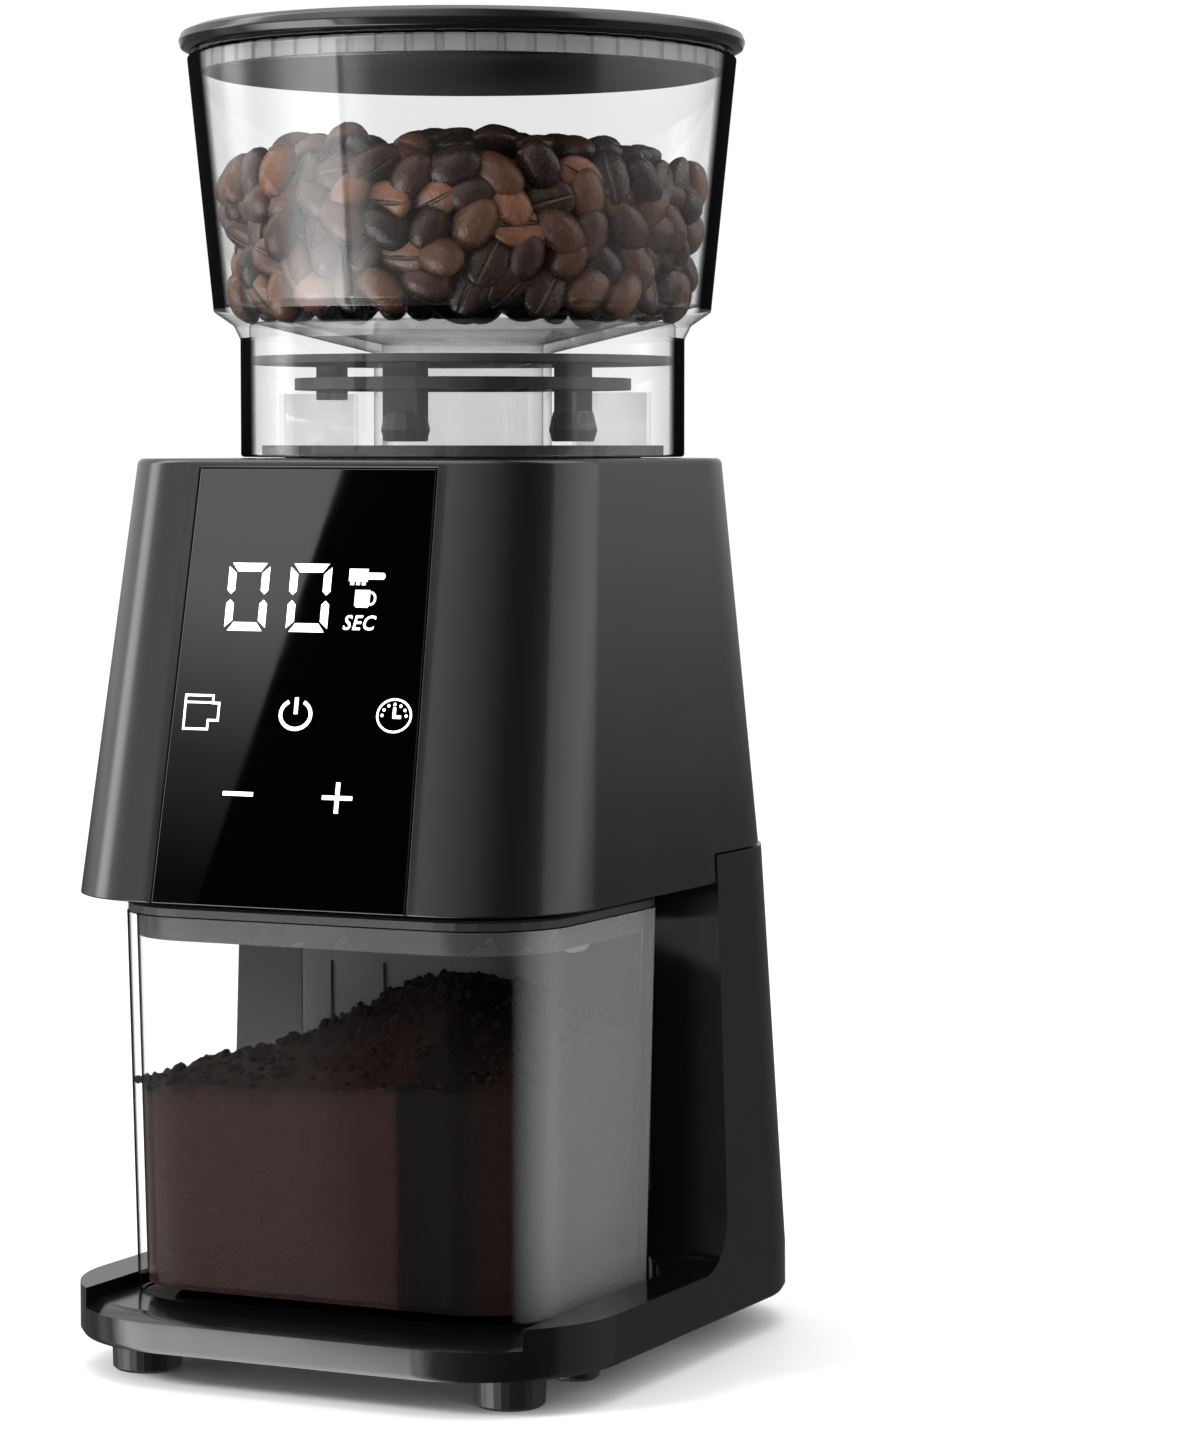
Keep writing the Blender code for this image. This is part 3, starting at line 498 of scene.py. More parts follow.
def finish_shell(thing, look, edge=0.00035, angle=40):
    """Small rounded edges and even shading for a cut shell."""
    thing.data.materials.clear()
    thing.data.materials.append(look)
    thing.data.shade_smooth()
    thing.data.set_sharp_from_angle(angle=math.radians(angle))
    bevel = thing.modifiers.new("edges", "BEVEL")
    bevel.width, bevel.segments, bevel.limit_method = edge, 2, "ANGLE"
    bevel.angle_limit = math.radians(angle)
    bevel.use_clamp_overlap = True
    bevel.harden_normals = False
    even = thing.modifiers.new("even", "WEIGHTED_NORMAL")
    even.keep_sharp = True
    even.weight = 80


# ---------------------------------------------------------------- upper housing and panel
RIM_ROLL = 1.3                              # radius of the housing's rolled top edge
PANEL_RING_Z, PANEL_TOP_Z = 229.4, 228.3    # first level ring above the panel; the panel's top
PANEL_LOW_Z, PANEL_GAP, PANEL_THICK = 121.6, 0.25, 1.05
PANEL_HALF_LOW, PANEL_HALF_HIGH = 35.25, 32.95      # half widths where the housing begins and ends


def panel_rings(half_low, half_high, z0, z1, outer, inner):
    """Outer and inner outline of the leaning panel, or of the recess that it lies in."""

    def half_at(z):
        return half_low + (half_high - half_low) * (z - HOUSING_BOTTOM) / (HOUSING_TOP - HOUSING_BOTTOM)

    return [[(side * half_at(z), front_y(z) + depth, z) for side, z in ((-1, z0), (1, z0), (1, z1), (-1, z1))]
            for depth in (outer, inner)]


def edge_rings(shape, top, levels):
    """Rings up a shell with its top edge rolled over."""
    rings = [shell_ring(shape, z) for z in levels]
    for i in range(1, 6):
        a = math.pi / 2 * i / 5
        rings.append(shell_ring(shape, top - RIM_ROLL + RIM_ROLL * math.sin(a), RIM_ROLL * (1 - math.cos(a))))
    return rings


STRAIGHT_UPPER = UPPER_SHAPE[:2] + [(240.0, 63.13, -63.44, 71.0, 27.5, 46.2)]
housing = loft("housing_shell", edge_rings(STRAIGHT_UPPER, HOUSING_TOP, (HOUSING_BOTTOM, PANEL_RING_Z)))
boolean(housing, [
    loft("cutter", [shell_ring(UPPER_SHAPE, z, WALL) for z in (110.0, HOUSING_TOP - 2.5)]),
    rod("cutter", 47.5, 220, 240, (0, AXIS_Y), steps=128),
    box("cutter", (-120, 120), (COLUMN_FRONT - 0.3, 130), (100, SEAM + 0.3)),
    loft("cutter", panel_rings(PANEL_HALF_LOW + PANEL_GAP, PANEL_HALF_HIGH + PANEL_GAP, PANEL_LOW_Z - 0.6,
                               PANEL_TOP_Z + PANEL_GAP, -3.0, PANEL_THICK + 0.3)),
    box("cutter", (-27, 27), (-100, -50), (145, 208)),
    rod("cutter", 2.4, 220, 240, (-56.7, AXIS_Y), steps=32),
])
finish_shell(housing, LOOKS["gloss_black"])
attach(housing, "body")
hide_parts("upper_housing")

panel_outline = panel_rings(PANEL_HALF_LOW, PANEL_HALF_HIGH, PANEL_LOW_Z, PANEL_TOP_Z, 0.0, PANEL_THICK)
panel = loft("touch_panel", panel_outline, LOOKS["panel_glass"], smooth=None)
bevel = panel.modifiers.new("edges", "BEVEL")
bevel.width, bevel.segments = 0.0002, 2
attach(panel, "body")
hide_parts("front_panel_glass")

# ---------------------------------------------------------------- lit symbols on the panel
SYMBOL_OUT, SYMBOL_THICK = 0.10, 0.06


def on_panel(x, z, out=SYMBOL_OUT):
    """A point just in front of the leaning panel."""
    return (x, front_y(z) - out, z)


def arc(centre, half_wide, half_high, start, end, steps=24):
    """Points along part of an ellipse, from one angle to another in degrees."""
    angles = [math.radians(start + (end - start) * i / steps) for i in range(steps + 1)]
    return [(centre[0] + half_wide * math.cos(a), centre[1] + half_high * math.sin(a)) for a in angles]


def ribbon(points, width, closed=False):
    """Four-sided patches along a line, mitred where they meet."""
    n, sides = len(points), []
    for i, point in enumerate(points):
        here = Vector(point)
        before = Vector(points[i - 1]) if closed or i else None
        after = Vector(points[(i + 1) % n]) if closed or i < n - 1 else None
        come = (here - before).normalized() if before else (after - here).normalized()
        leave = (after - here).normalized() if after else come
        middle = (come + leave).normalized()
        reach = width / 2 / max(0.4, middle.dot(come))
        off = Vector((-middle.y, middle.x)) * reach
        sides.append((tuple(here + off), tuple(here - off)))
    pairs = list(zip(sides, sides[1:])) + ([(sides[-1], sides[0])] if closed else [])
    return [(a[0], b[0], b[1], a[1]) for a, b in pairs]


def block(x0, z0, x1, z1):
    return [((x0, z0), (x1, z0), (x1, z1), (x0, z1))]


def digit_zero(x0, z0, wide, high, thick, gap=0.42):
    """A seven-segment nought, its middle bar unlit."""
    x1, z1, middle = x0 + wide, z0 + high, z0 + high / 2
    bars = []
    for z, inward in ((z1, -thick), (z0, thick)):
        bars.append(((x0 + gap * 2, z), (x1 - gap * 2, z),
                     (x1 - thick - gap, z + inward), (x0 + thick + gap, z + inward)))
    for x, inward in ((x0, thick), (x1, -thick)):
        for end, way in ((z1, -1), (z0, 1)):
            near, far = end + way * 2 * gap, middle - way * gap * 1.6
            shoulder = far - way * thick * 0.45
            bars.append(((x, near), (x + inward, end + way * (thick + gap)), (x + inward, shoulder),
                         (x + inward / 2, far), (x, shoulder)))
    return bars


def lettering(text, x0, z0, wide, high):
    """Flat faces of a short slanted text in Blender's own font, stretched to a width and a height."""
    curve = bpy.data.curves.new("text", "FONT")
    curve.body, curve.shear, curve.offset = text, 0.22, 0.012
    curve.space_character, curve.resolution_u = 1.12, 3
    thing = bpy.data.objects.new("text", curve)
    bpy.context.scene.collection.objects.link(thing)
    mesh = bpy.data.meshes.new_from_object(thing.evaluated_get(bpy.context.evaluated_depsgraph_get()))
    bpy.data.objects.remove(thing, do_unlink=True)
    points = np.array([v.co[:2] for v in mesh.vertices])
    low, high_point = points.min(axis=0), points.max(axis=0)
    points = (points - low) * (np.array((wide, high)) / (high_point - low)) + np.array((x0, z0))
    return [[tuple(points[i]) for i in face.vertices] for face in mesh.polygons]


def cup_mark(x, z):
    """An outlined mug: lid line, body and a squared handle."""
    body = [(0, 0), (0, 8.2), (7.8, 8.2), (7.8, 6.4), (9.6, 6.4), (9.6, 2.2), (6.8, 2.2), (6.8, 0)]
    outline = [(x - 4.8 + u, z - 4.1 + v) for u, v in body]
    return ribbon(outline, 0.55, True) + ribbon([(x - 4.5, z + 2.4), (x + 2.8, z + 2.4)], 0.5)


def power_mark(x, z):
    return ribbon(arc((x, z - 0.4), 4.2, 3.5, 120, 420), 0.9) + block(x - 0.5, z - 0.3, x + 0.5, z + 3.7)


def clock_mark(x, z):
    faces = ribbon(arc((x, z), 4.6, 3.9, 0, 352.5, 47), 0.5, True)
    for turn in range(0, 181, 30):
        a = math.radians(turn)
        faces.append(arc((x + 3.3 * math.cos(a), z + 2.7 * math.sin(a)), 0.4, 0.4, 0, 315, 7))
    return faces + ribbon([(x, z + 2.0), (x, z - 0.3), (x + 1.9, z - 0.3)], 0.8)


def filter_mark(x, z):
    """A brewing handle: basket with three teeth and a rounded grip."""
    faces = block(x, z, x + 5.2, z + 3.0) + block(x + 5.4, z + 0.5, x + 9.2, z + 2.1)
    faces.append(tuple(arc((x + 9.2, z + 1.3), 0.8, 0.8, -90, 90, 8)))
    for i in range(3):
        faces += block(x + 0.5 + 1.6 * i, z - 0.9, x + 1.5 + 1.6 * i, z - 0.15)
    return faces


def small_cup_mark(x, z):
    body = [(x + 0.5, z), (x + 3.6, z), (x + 4.1, z + 0.5), (x + 4.1, z + 4.2), (x, z + 4.2), (x, z + 0.5)]
    return [tuple(body)] + ribbon(arc((x + 4.2, z + 2.2), 1.4, 1.5, -80, 80, 10), 0.5)


symbols = digit_zero(-22.0, 188.5, 11.5, 16.6, 2.1) + digit_zero(-4.6, 188.5, 11.5, 16.6, 2.1)
symbols += filter_mark(11.8, 201.0) + small_cup_mark(13.9, 194.7) + lettering("SEC", 11.3, 189.2, 9.0, 3.6)
symbols += cup_mark(-26.1, 168.4) + power_mark(0.4, 168.9) + clock_mark(27.6, 168.9)
symbols += block(-17.9, 148.4, -9.4, 149.4)
symbols += block(9.9, 148.3, 18.2, 149.3) + block(13.5, 149.5, 14.6, 152.5) + block(13.5, 145.1, 14.6, 148.1)
work = bmesh.new()
for outline in symbols:
    work.faces.new([work.verts.new(on_panel(x, z)) for x, z in outline])
bmesh.ops.remove_doubles(work, verts=work.verts, dist=0.002)
grown = bmesh.ops.extrude_face_region(work, geom=work.faces[:], use_keep_orig=True)
depth = [v for v in grown["geom"] if isinstance(v, bmesh.types.BMVert)]
bmesh.ops.translate(work, vec=(0, SYMBOL_THICK, 0), verts=depth)
new_object("panel_symbols", work, LIT, body="body", slot="panel_glass", smooth=None)

# ---------------------------------------------------------------- base with its column
SCOOP = 14                                  # radius where the tray's floor turns up into the bay's back wall
base = loft("base_body", [shell_ring(BASE_SHAPE, z) for z in (9.0, 10.4, 21.8, 60, 100, SEAM)])
bay_side = [(-130, TRAY_TOP)]
for i in range(17):
    a = math.radians(-90 + 90 * i / 16)
    bay_side.append((COLUMN_FRONT - SCOOP + SCOOP * math.cos(a), TRAY_TOP + SCOOP + SCOOP * math.sin(a)))
bay_side += [(COLUMN_FRONT, 160), (-130, 160)]
bay_cut = loft("cutter", [[(x, y, z) for y, z in bay_side] for x in (-120, 120)])
lip_keep = loft("cutter", [
    shell_ring(BASE_SHAPE, 15.0, -1.0, 2.0),
    shell_ring(BASE_SHAPE, 15.0, -1.0, FLOOR - 2.2 * (1 + 1 / 4.2)),
    shell_ring(BASE_SHAPE, 15.0, 4.2, FLOOR),
])
lip_outline = rounded(61.5, -130, 14.0, 1.0, 15.0, 12)
lip_cut = loft("cutter", upright(lip_outline, (11.0, 60.0)))
boolean(lip_cut, [lip_keep])
column_cut = loft("cutter", [shell_ring(BASE_SHAPE, z, WALL) for z in (14.0, 60.0, 150.0)])
boolean(column_cut, [box("cutter", (-120, 120), (-150, COLUMN_FRONT + WALL), (5, 170))])
under_cut = loft("cutter", [shell_ring(BASE_SHAPE, 10.4, WALL, 4.0), shell_ring(BASE_SHAPE, 16.2, WALL)])
gland_cut = rod("cutter", 7.0, 70, 100, (0, 0), steps=48)
gland_cut.matrix_world = Matrix.Translation((0, 0, 30 * MM)) @ Matrix.Rotation(-math.pi / 2, 4, "X")
bpy.context.view_layer.update()
front_cut = box("cutter", (-52, 52), (4, 30), (40, 170))
boolean(base, [bay_cut, lip_cut, under_cut, column_cut, front_cut, gland_cut])
finish_shell(base, LOOKS["gloss_black"], 0.0006)
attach(base, "body")
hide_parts("base_shell")

# ---------------------------------------------------------------- hopper and its lid
NECK_R, SHOULDER_R, BOWL_R = 57.9, 64.8, 71.4
hopper_profile = [
    (NECK_R, 231.0), (NECK_R, 261.5), (59.6, 265.0), (SHOULDER_R, 268.6), (BOWL_R, 334.6),
    (BOWL_R - 2.2, 334.6), (SHOULDER_R - 2.2, 270.4), (21.0, 260.2), (21.0, 229.0), (23.2, 229.0),
    (23.2, 258.0), (NECK_R - 2.3, 266.0), (NECK_R - 2.3, 231.0),
]
hopper = turned("hopper_clear", smoothed(hopper_profile, 0.9), LOOKS["clear_plastic"], body="hopper",
                slot="clear_plastic")
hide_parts("hopper")
hopper.data.materials.append(CLEAR_INSIDE)
OUTSIDE = [(231.0, NECK_R), (262.0, NECK_R), (265.0, 59.6), (268.6, SHOULDER_R), (334.6, BOWL_R)]
for face in hopper.data.polygons:
    x, y, z = face.center / MM
    outside = np.interp(z, [row[0] for row in OUTSIDE], [row[1] for row in OUTSIDE])
    if math.hypot(x, y - AXIS_Y) < outside - 1.0 or 262.0 < z < 269.6:
        face.material_index = 1

LID_LOW, LID_INSIDE_R = 329.8, 66.2
lid_profile = [
    (0, 343.0), (62, 342.2), (70.0, 341.4), (72.8, 340.3), (73.6, 338.4), (73.0, 336.5), (71.0, 335.5),
    (LID_INSIDE_R, 335.4), (LID_INSIDE_R, LID_LOW), (0, LID_LOW),
]
lid = turned("lid_cap", smoothed(lid_profile, 0.8), LOOKS["gloss_black"], body="hopper_lid",
             slot="gloss_black", smooth=math.radians(60))
lid.data.materials.append(LID_UNDER)
for face in lid.data.polygons:
    if face.center.z / MM < LID_LOW + 0.1:
        face.material_index = 1
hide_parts("hopper_lid", "lid_plug")

# ---------------------------------------------------------------- grounds bin
bin_rings = [bin_ring(BIN_BOTTOM + 1.6 - 1.6 * math.sin(a), 1.6 * (1 - math.cos(a)))
             for a in [math.pi / 2 * (1 - i / 5) for i in range(6)]]
bin_rings += [bin_ring(z) for z in (50, 85, BIN_TOP)]
bin_rings += [bin_ring(z, 2.4) for z in (BIN_TOP, 85, 50, BIN_BOTTOM + 4.2)]
bin_rings += [bin_ring(BIN_BOTTOM + 2.6, 4.0)]
bin_clear = loft("bin_clear", bin_rings, CLEAR_BIN, body="grounds_bin", slot="clear_plastic")
bin_clear.data.materials.append(CLEAR_PAINTED_SHEEN)
# Faces of the bin's +X side take the painted sheen, a painted reflection of the bright studio side.
for face in bin_clear.data.polygons:
    if face.normal.x > 0.2 and face.center.x / MM > 30:
        face.material_index = 1
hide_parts("grounds_bin")

SEAL_LOW_Z = 110.4
seal = loft("bin_seal_band", [bin_ring(z, 2.75) for z in (SEAL_LOW_Z, BIN_TOP - 0.2)], SEAL_SATIN,
            body="grounds_bin", slot="rubber")
boolean(seal, [loft("cutter", [bin_ring(z, 4.1) for z in (100.0, BIN_TOP + 10)])])
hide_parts("bin_lid_seal")


# ---------------------------------------------------------------- ribbed lid seal
def ridged(r_root, r_tip, count, share):
    """A round outline with square-shouldered ridges that take up a share of it."""
    pitch = 2 * math.pi / count
    outline = []
    for i in range(count):
        for turn, r in ((-0.5, r_root), (-0.42, r_tip), (0.42, r_tip), (0.5, r_root)):
            a = (i + turn * share) * pitch
            outline.append((r * math.cos(a), AXIS_Y + r * math.sin(a)))
    return outline


ribs = loft("lid_seal_ribs", upright(ridged(67.3, 68.1, 56, 0.8), (330.6, 335.0)), SEAL_GREY,
            body="hopper_lid", slot="rubber", smooth=math.radians(20))
boolean(ribs, [rod("cutter", 66.45, 320, 345, (0, AXIS_Y), steps=160)])
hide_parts("lid_seal")

# ---------------------------------------------------------------- clear pockets in the hopper's neck
POCKET_AWAY, POCKET_HALF_X, POCKET_HALF_Y, POCKET_WALL = 43.0, 7.6, 8.6, 0.9


def pocket_outline(side, thin):
    """Outline of the pocket on one side, drawn in by the thickness of its wall."""
    flat = rounded(POCKET_HALF_X - thin, thin - POCKET_HALF_Y, POCKET_HALF_Y - thin, 1.2, 1.2, 5)
    return [(x + side * POCKET_AWAY, y + AXIS_Y) for x, y in flat]


for side, name in ((-1, "left"), (1, "right")):
    pocket = loft(f"neck_pocket_{name}", upright(pocket_outline(side, 0.0), (231.4, 247.6)), CLEAR_INSIDE,
                  body="hopper", slot="clear_plastic")
    boolean(pocket, [loft("cutter", upright(pocket_outline(side, POCKET_WALL), (226.0, 252.0)))])


# ---------------------------------------------------------------- roasted beans
BEAN_LONG, BEAN_WIDE, BEAN_DOME, BEAN_FLAT = 7.3, 5.4, 5.2, 0.42
BEAN_ROUND = (-90, -86, -79, -64, -45, -20, 5, 30, 60, 90, 120, 150, 175, 200, 225, 244, 259, 266)
BOWL_LOW, BOWL_HIGH = (62.6, 270.4), (69.2, 335.0)       # inside radius and height
BEAN_ROWS = (6.6, 16.0)
BEAN_LAYERS = [(z, BEAN_ROWS) for z in (273.6, 281.0, 288.4, 295.8)] + [
    (301.5, BEAN_ROWS + (25.5, 35.0, 45.0, 55.0)), (307.0, (20.0, 30.0, 40.0, 50.0, 60.0))]
BEANS_TOP_FROM = 300.0                     # layers above this height lie as a heaped top


def bowl_inside(z):
    """Inside radius of the hopper's bowl at a height."""
    return BOWL_LOW[0] + (BOWL_HIGH[0] - BOWL_LOW[0]) * (z - BOWL_LOW[1]) / (BOWL_HIGH[1] - BOWL_LOW[1])


def one_bean():
    """Points, faces and groove share of a bean along X: domed above, flatter below with a groove."""
    slices, n = 10, len(BEAN_ROUND)
    points, groove = [(-BEAN_LONG, 0, 0)], [0.0]
    for i in range(1, slices):
        a = math.pi * i / slices
        r = math.sin(a) ** 0.85
        for turn in BEAN_ROUND:
            y, z = math.cos(math.radians(turn)), math.sin(math.radians(turn))
            in_groove = turn == -90
            z = z * BEAN_DOME * (BEAN_FLAT if z < 0 else 1) + (1.3 if in_groove else 0)
            points.append((-BEAN_LONG * math.cos(a), BEAN_WIDE * y * r, z * r))
            groove.append(1.0 if in_groove else 0.6 if turn in (-86, 266) else 0.0)
    points.append((BEAN_LONG, 0, 0))
    groove.append(0.0)
    faces = [(0, 1 + (j + 1) % n, 1 + j) for j in range(n)]
    for i in range(slices - 2):
        for j in range(n):
            low, high = 1 + i * n, 1 + (i + 1) * n
            faces.append((low + j, low + (j + 1) % n, high + (j + 1) % n, high + j))
    last, end = 1 + (slices - 2) * n, len(points) - 1
    faces += [(last + j, last + (j + 1) % n, end) for j in range(n)]
    return np.array(points), faces, groove


def bean_spots(draw):
    """Places and turns: rings against the wall from the bowl's floor up, and a heaped top over all of it.

    Each layer has its height and its rows, as the distance of each row from the wall.
    """
    spots = []
    for z, rows in BEAN_LAYERS:
        wall, top = bowl_inside(z), z > BEANS_TOP_FROM
        for row in rows:
            r = wall - row
            count = max(1, round(2 * math.pi * r / 10.6))
            phase = draw.random()
            for i in range(count):
                a = 2 * math.pi * (i + phase + draw.uniform(-0.17, 0.17)) / count
                out = r - draw.uniform(0, 1.8)
                heaped = 4.5 * (1 - out / wall) if top else 0
                place = (out * math.cos(a), out * math.sin(a), z + heaped + draw.uniform(-1.7, 1.7))
                spots.append((place, a, top and row > BEAN_ROWS[0]))
    return spots


def bean_turn(draw, a, lying):
    """Wall beans face in or out; beans on top lie any way up."""
    spin = Matrix.Rotation(draw.uniform(0, 2 * math.pi), 3, "Z")
    tip = Euler((draw.gauss(0, 0.3), draw.gauss(0, 0.3), 0)).to_matrix()
    flip = Matrix.Rotation(math.pi if draw.random() < 0.5 else 0, 3, "X")
    if lying:
        return Matrix.Rotation(a, 3, "Z") @ tip @ spin @ flip
    return Matrix.Rotation(a, 3, "Z") @ Matrix.Rotation(math.pi / 2, 3, "Y") @ tip @ spin @ flip


def hold(mesh, label, values):
    """Gives each point of the mesh a number that its material reads."""
    mesh.attributes.new(label, "FLOAT", "POINT").data.foreach_set("value", values)


def bean_pile(name, spots, draw):
    """One mesh of all the beans at these spots, pushed in where they would pass through the bowl."""
    base, faces, groove = one_bean()
    points, all_faces, tones, grooves, pile_painted_shade = [], [], [], [], []
    for place, a, lying in spots:
        turn = np.array(bean_turn(draw, a, lying))
        size = draw.uniform(0.9, 1.08)
        grown = base * size * np.array((1, draw.uniform(0.9, 1.05), draw.uniform(0.9, 1.05)))
        here = grown @ turn.T + np.array(place)
        room = bowl_inside(here[:, 2]) - 0.5
        far = np.hypot(here[:, 0], here[:, 1])
        here[:, :2] *= np.minimum(1, room / np.maximum(far, 1e-6))[:, None]
        start = sum(len(p) for p in points)
        all_faces += [tuple(start + i for i in face) for face in faces]
        points.append(here + np.array((0, AXIS_Y, 0)))
        outward = np.array((0, 0, 1) if lying else (math.cos(a), math.sin(a), 0.25))
        # Painted shade: each point is darkened the more it faces into the pile, away from the bowl's wall for
        # wall beans and downwards for beans on top.
        pile_painted_shade += np.clip(0.62 - 0.18 * ((here - np.array(place)) @ outward), 0, 0.92).tolist()
        tones += [draw.random()] * len(base)
        grooves += groove
    mesh = bpy.data.meshes.new(name)
    mesh.from_pydata((np.concatenate(points) * MM).tolist(), [], all_faces)
    mesh.shade_smooth()
    for label, values in (("tone", tones), ("groove", grooves), ("pile_painted_shade", pile_painted_shade)):
        hold(mesh, label, values)
    mesh.materials.append(BEAN)
    thing = bpy.data.objects.new(name, mesh)
    bpy.context.scene.collection.objects.link(thing)
    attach(thing, "hopper")
    return thing


draw = random.Random(11)
spots = bean_spots(draw)
wall_beans = [spot for spot in spots if not spot[2]]
top_beans = [spot for spot in spots if spot[2]]
bean_pile("beans_at_wall", wall_beans, draw)
bean_pile("beans_on_top", top_beans, draw)
# A dark filler for the middle of the pile, seen in the gaps between beans: it stands in for beans deeper
# down, and its near-black colour is painted shade.
BED_PROFILE = [(0, 276), (46, 276), (50, 279), (51, 292), (40, 300), (0, 304)]
turned("bean_bed", smoothed(BED_PROFILE, 3.0), BEAN_BED, body="hopper")


# ---------------------------------------------------------------- ground coffee in the bin
GROUNDS_FLOOR, GROUNDS_INSET = 21.9, 2.75


def grounds_level(x, y):
    """Height of the heap: level along the front, with a peak under the chute."""
    peak = 25.0 * math.exp(-((x - 20) / 44) ** 2 - ((y + 24) / 27) ** 2)
    rough = 1.6 * noise.noise(Vector((x, y, 3.0)) * 0.16) + 1.1 * noise.noise(Vector((x, y, 9.0)) * 0.55)
    return 72.5 + 0.03 * (x + 57) + peak + rough


def evenly(outline, count):
    """The closed outline with its points spread evenly along it."""
    ends = outline[1:] + outline[:1]
    lengths = [math.dist(a, b) for a, b in zip(outline, ends)]
    total, out = sum(lengths), []
    i, gone = 0, 0.0
    for k in range(count):
        goal = total * k / count
        while gone + lengths[i] < goal:
            gone += lengths[i]
            i += 1
        t = (goal - gone) / lengths[i]
        out.append(tuple(u + t * (v - u) for u, v in zip(outline[i], ends[i])))
    return out


def heap():
    """Rings up the bin's inside and then in over the top of the heap to its middle."""
    around, up, across = 320, 26, 46
    rings = []
    for k in range(up + 1):
        share = k / up
        ring_ = []
        for x, y, _ in evenly(bin_ring(GROUNDS_FLOOR + 50 * share, GROUNDS_INSET), around):
            z = GROUNDS_FLOOR + share * (grounds_level(x, y) - GROUNDS_FLOOR)
            ring_.append((x, y, z))
        rings.append(ring_)
    edge, middle = rings[-1], (0.0, -30.0)
    for k in range(1, across):
        share = 1 - k / across
        ring_ = []
        for x, y, _ in edge:
            u, v = middle[0] + share * (x - middle[0]), middle[1] + share * (y - middle[1])
            ring_.append((u, v, grounds_level(u, v)))
        rings.append(ring_)
    return rings


def painted_shade_at(x, y, z):
    """Painted light on the grounds: a painted reflection keeps them palest at the left, painted shade darkens
    them on top, and a painted dark reflection makes a near-black band near the right corner.
    """
    across = 0.35 * min(1, max(0, (x + 57) / 84))
    corner = 0.97 * min(1, max(0, (x - 22.5) / 1.2)) * (1 - 0.3 * min(1, max(0, (x - 40) / 8)))
    on_top = 0.7 * min(1, max(0, (z - grounds_level(x, y) + 4) / 3.5))
    return max(across, corner, on_top)


grounds = loft("grounds_heap", heap(), GROUNDS, body="grounds_bin", smooth=math.radians(80))
painted_shades = [painted_shade_at(*(v.co / MM)) for v in grounds.data.vertices]
hold(grounds.data, "shade", painted_shades)

crumbs = bmesh.new()
draw = random.Random(5)
for i in range(520):
    x, y = draw.uniform(-55, 55), draw.uniform(-67, 4)
    r = draw.uniform(0.4, 1.6)
    spot = Vector((x, y, grounds_level(x, y) + r * 0.4))
    lump = bmesh.ops.create_icosphere(crumbs, subdivisions=1, radius=r)["verts"]
    for corner in lump:
        corner.co = corner.co * draw.uniform(0.75, 1.2) + spot
crumb_mesh = new_object("grounds_crumbs", crumbs, GROUNDS, body="grounds_bin", smooth=None).data
# The crumbs on the heap's top take a fixed share of painted shade, like the top itself.
hold(crumb_mesh, "shade", [0.75] * len(crumb_mesh.vertices))

# ---------------------------------------------------------------- studio
FLOOR_LOOK, tree, shader = new_material("studio_floor")
shader.inputs["Base Color"].default_value = (0.86, 0.86, 0.86, 1)
shader.inputs["Roughness"].default_value = 0.5
work = bmesh.new()
bmesh.ops.create_grid(work, x_segments=1, y_segments=1, size=6000)
floor = new_object("studio_ground", work, FLOOR_LOOK)
floor.visible_glossy = False

# brightness of the studio that the gloss reflects, by heading in degrees from straight ahead (-Y) towards +X
STUDIO_ROUND = [
    (-180, 0.6), (-150, 0.6), (-117, 0.85), (-95, 1.2), (-88, 4.2), (-80, 4.2), (-74, 1.4), (-63, 1.1),
    (-27, 1.5), (-7, 1.1), (15, 0.7), (29, 0.42), (45, 0.13), (57, 0.07), (70, 0.14), (84, 0.35), (88, 1.2),
    (105, 1.65), (125, 1.8), (145, 1.3), (152, 0.75), (160, 0.65), (180, 0.6),
]
# its share by height, as the sine of the angle above level
STUDIO_UP = [(-1.0, 0.18), (-0.045, 0.18), (0.0, 0.5), (0.052, 1.0), (0.5, 1.0), (0.65, 1.8), (1.0, 2.0)]
# a low glow added below the horizon, in front only: by heading, then by height
STUDIO_LOW_ROUND = [(-180, 0), (-75, 0), (-55, 1.3), (-29.0, 1.3), (-28.1, 0.15),
                    (-26.4, 0.15), (-25.4, 0.5), (-22, 0.5), (-12, 0.05), (12, 0), (180, 0)]
STUDIO_LOW_UP = [(-1.0, 4.8), (-0.2, 4.8), (-0.174, 3.0), (-0.137, 1.0), (-0.1, 0.5), (-0.05, 0.0),
                 (1.0, 0.0)]
BRIGHTEST = 5.0          # colour ramps hold values up to 1, so the lists above are scaled by this

world = bpy.data.worlds.new("studio")
bpy.context.scene.world = world
world.use_nodes = True
tree = world.node_tree
where = add(tree, "ShaderNodeTexCoord")
way = add(tree, "ShaderNodeSeparateXYZ")
tree.links.new(where.outputs["Generated"], way.inputs[0])
ahead = math_node(tree, "MULTIPLY", way.outputs["Y"], -1.0)
heading = math_node(tree, "ARCTAN2", way.outputs["X"], ahead)
round_share = math_node(tree, "MULTIPLY_ADD", heading, 1 / (2 * math.pi), 0.5)
up_share = math_node(tree, "MULTIPLY_ADD", way.outputs["Z"], 0.5, 0.5)
by_heading = ramp(tree, round_share, [((h + 180) / 360, v / BRIGHTEST) for h, v in STUDIO_ROUND])
by_height = ramp(tree, up_share, [((u + 1) / 2, v / BRIGHTEST) for u, v in STUDIO_UP])
low_by_heading = ramp(tree, round_share, [((h + 180) / 360, v / BRIGHTEST) for h, v in STUDIO_LOW_ROUND])
low_by_height = ramp(tree, up_share, [((u + 1) / 2, v / BRIGHTEST) for u, v in STUDIO_LOW_UP])
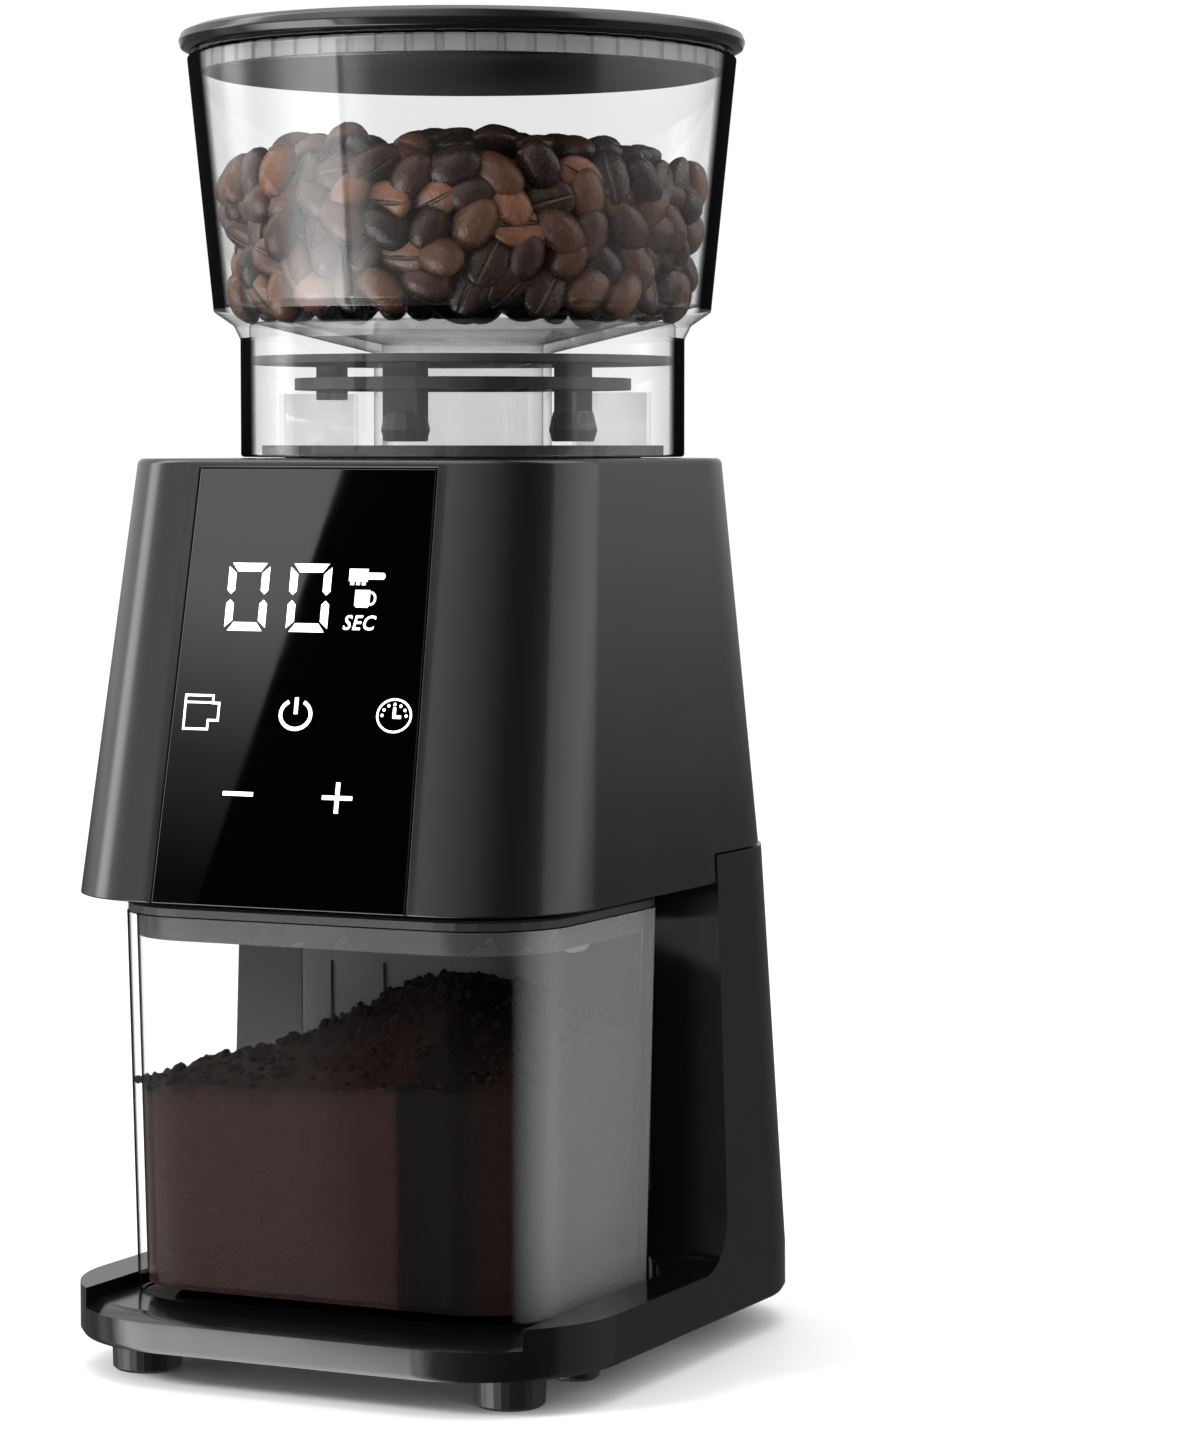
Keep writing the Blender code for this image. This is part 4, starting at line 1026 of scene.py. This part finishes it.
low_glow = math_node(tree, "MULTIPLY", low_by_heading, low_by_height)
all_round = math_node(tree, "MULTIPLY_ADD", by_heading, by_height, low_glow)
seen_in_gloss = math_node(tree, "MULTIPLY", all_round, BRIGHTEST ** 2)
soft_light = math_node(tree, "MULTIPLY_ADD", way.outputs["Z"], 0.45, 0.95)
path = add(tree, "ShaderNodeLightPath")


def choose(share, no, yes):
    """no + share * (yes - no), for a share of 0 or 1."""
    gap = math_node(tree, "SUBTRACT", yes, no)
    return math_node(tree, "ADD", math_node(tree, "MULTIPLY", gap, share), no)


bright = choose(path.outputs["Is Glossy Ray"], soft_light, seen_in_gloss)
bright = choose(path.outputs["Is Camera Ray"], bright, 1.02)
tree.links.new(bright, tree.nodes["Background"].inputs["Strength"])
tree.nodes["Background"].inputs["Color"].default_value = (1, 1, 1, 1)


def area(name, place, aim, size, power):
    """A rectangular lamp that lights the scene but is not seen in the gloss."""
    data = bpy.data.lights.new(name, "AREA")
    data.shape, data.size, data.size_y, data.energy = "RECTANGLE", size[0], size[1], power
    thing = bpy.data.objects.new(name, data)
    bpy.context.scene.collection.objects.link(thing)
    thing.location = place
    thing.rotation_euler = (Vector(aim) - Vector(place)).to_track_quat("-Z", "Y").to_euler()
    thing.visible_glossy = False
    return thing


area("key_left", (-1.0, -1.2, 1.1), (0, 0, 0.25), (0.5, 0.5), 26)
area("fill_right", (1.4, -0.9, 0.6), (0, 0, 0.2), (0.4, 0.8), 5)
area("top", (0, 0.1, 1.6), (0, 0, 0.1), (1.2, 1.2), 10)

camera = bpy.data.cameras.new("camera")
camera.lens, camera.sensor_width = 109.64, 36.0
eye = bpy.data.objects.new("camera", camera)
bpy.context.scene.collection.objects.link(eye)
eye.location = (0.5297, -1.0179, 0.2344)
eye.rotation_euler = Vector((-0.430, 0.9006, -0.0636)).to_track_quat("-Z", "Y").to_euler()
bpy.context.scene.camera = eye
bpy.context.scene.view_settings.view_transform = "Standard"

# ---------------------------------------------------------------- card that the panel reflects
# A dark flag with a soft grey panel across its left, hung where the panel mirrors it into the camera.
CARD_AWAY = 1.5
BRIGHT_ON_PANEL = [(-40, 116), (-24.2, 116), (9.2, 236), (-40, 236)]      # x and z in mm where the grey shows
FLAG_ON_PANEL = [(-48, 108), (48, 108), (48, 242), (-48, 242)]
GREY_BY_HEIGHT = [(125, 0.06), (133, 0.12), (158, 0.5), (178, 1.35), (195, 2.2), (226, 2.45)]

slope = (front_y(200) - front_y(150)) / 50
panel_out = Vector((0, -1, slope)).normalized()
panel_spot = Vector(on_panel(0, 175, 0)) * MM
eye_mirrored = eye.location - 2 * (eye.location - panel_spot).dot(panel_out) * panel_out
card_way = (panel_spot - eye_mirrored).normalized()


def on_card(x, z, nearer=0.0):
    """Where the view of a panel point, mirrored in the panel, meets the card."""
    ray = (Vector(on_panel(x, z, 0)) * MM - eye_mirrored).normalized()
    reach = (panel_spot - eye_mirrored).dot(card_way) + CARD_AWAY - nearer
    return eye_mirrored + ray * reach / ray.dot(card_way)


def card(name, outline, look, nearer=0.0):
    work = bmesh.new()
    work.faces.new([work.verts.new(on_card(x, z, nearer) / MM) for x, z in outline])
    thing = new_object(name, work, look, smooth=None)
    thing.visible_camera = thing.visible_diffuse = thing.visible_shadow = thing.visible_transmission = False
    return thing


FLAG, tree, shader = new_material("card_flag")
shader.inputs["Base Color"].default_value = (0, 0, 0, 1)
shader.inputs["Specular IOR Level"].default_value = 0.0
card("card_dark", FLAG_ON_PANEL, FLAG)

LAMP, tree, shader = new_material("card_lamp")
where = add(tree, "ShaderNodeTexCoord")
way = add(tree, "ShaderNodeSeparateXYZ")
tree.links.new(where.outputs["Object"], way.inputs[0])
low, high = on_card(-20, GREY_BY_HEIGHT[0][0]).z, on_card(-20, GREY_BY_HEIGHT[-1][0]).z
share = math_node(tree, "MULTIPLY_ADD", way.outputs["Z"], 1 / (high - low), -low / (high - low))
span = GREY_BY_HEIGHT[-1][0] - GREY_BY_HEIGHT[0][0]
grey = ramp(tree, share, [((z - GREY_BY_HEIGHT[0][0]) / span, v / BRIGHTEST) for z, v in GREY_BY_HEIGHT])
lamp = add(tree, "ShaderNodeEmission", Strength=BRIGHTEST)
tree.links.new(grey, lamp.inputs["Color"])
tree.links.new(lamp.outputs[0], tree.nodes["Material Output"].inputs["Surface"])
card("card_bright", BRIGHT_ON_PANEL, LAMP, 0.002)
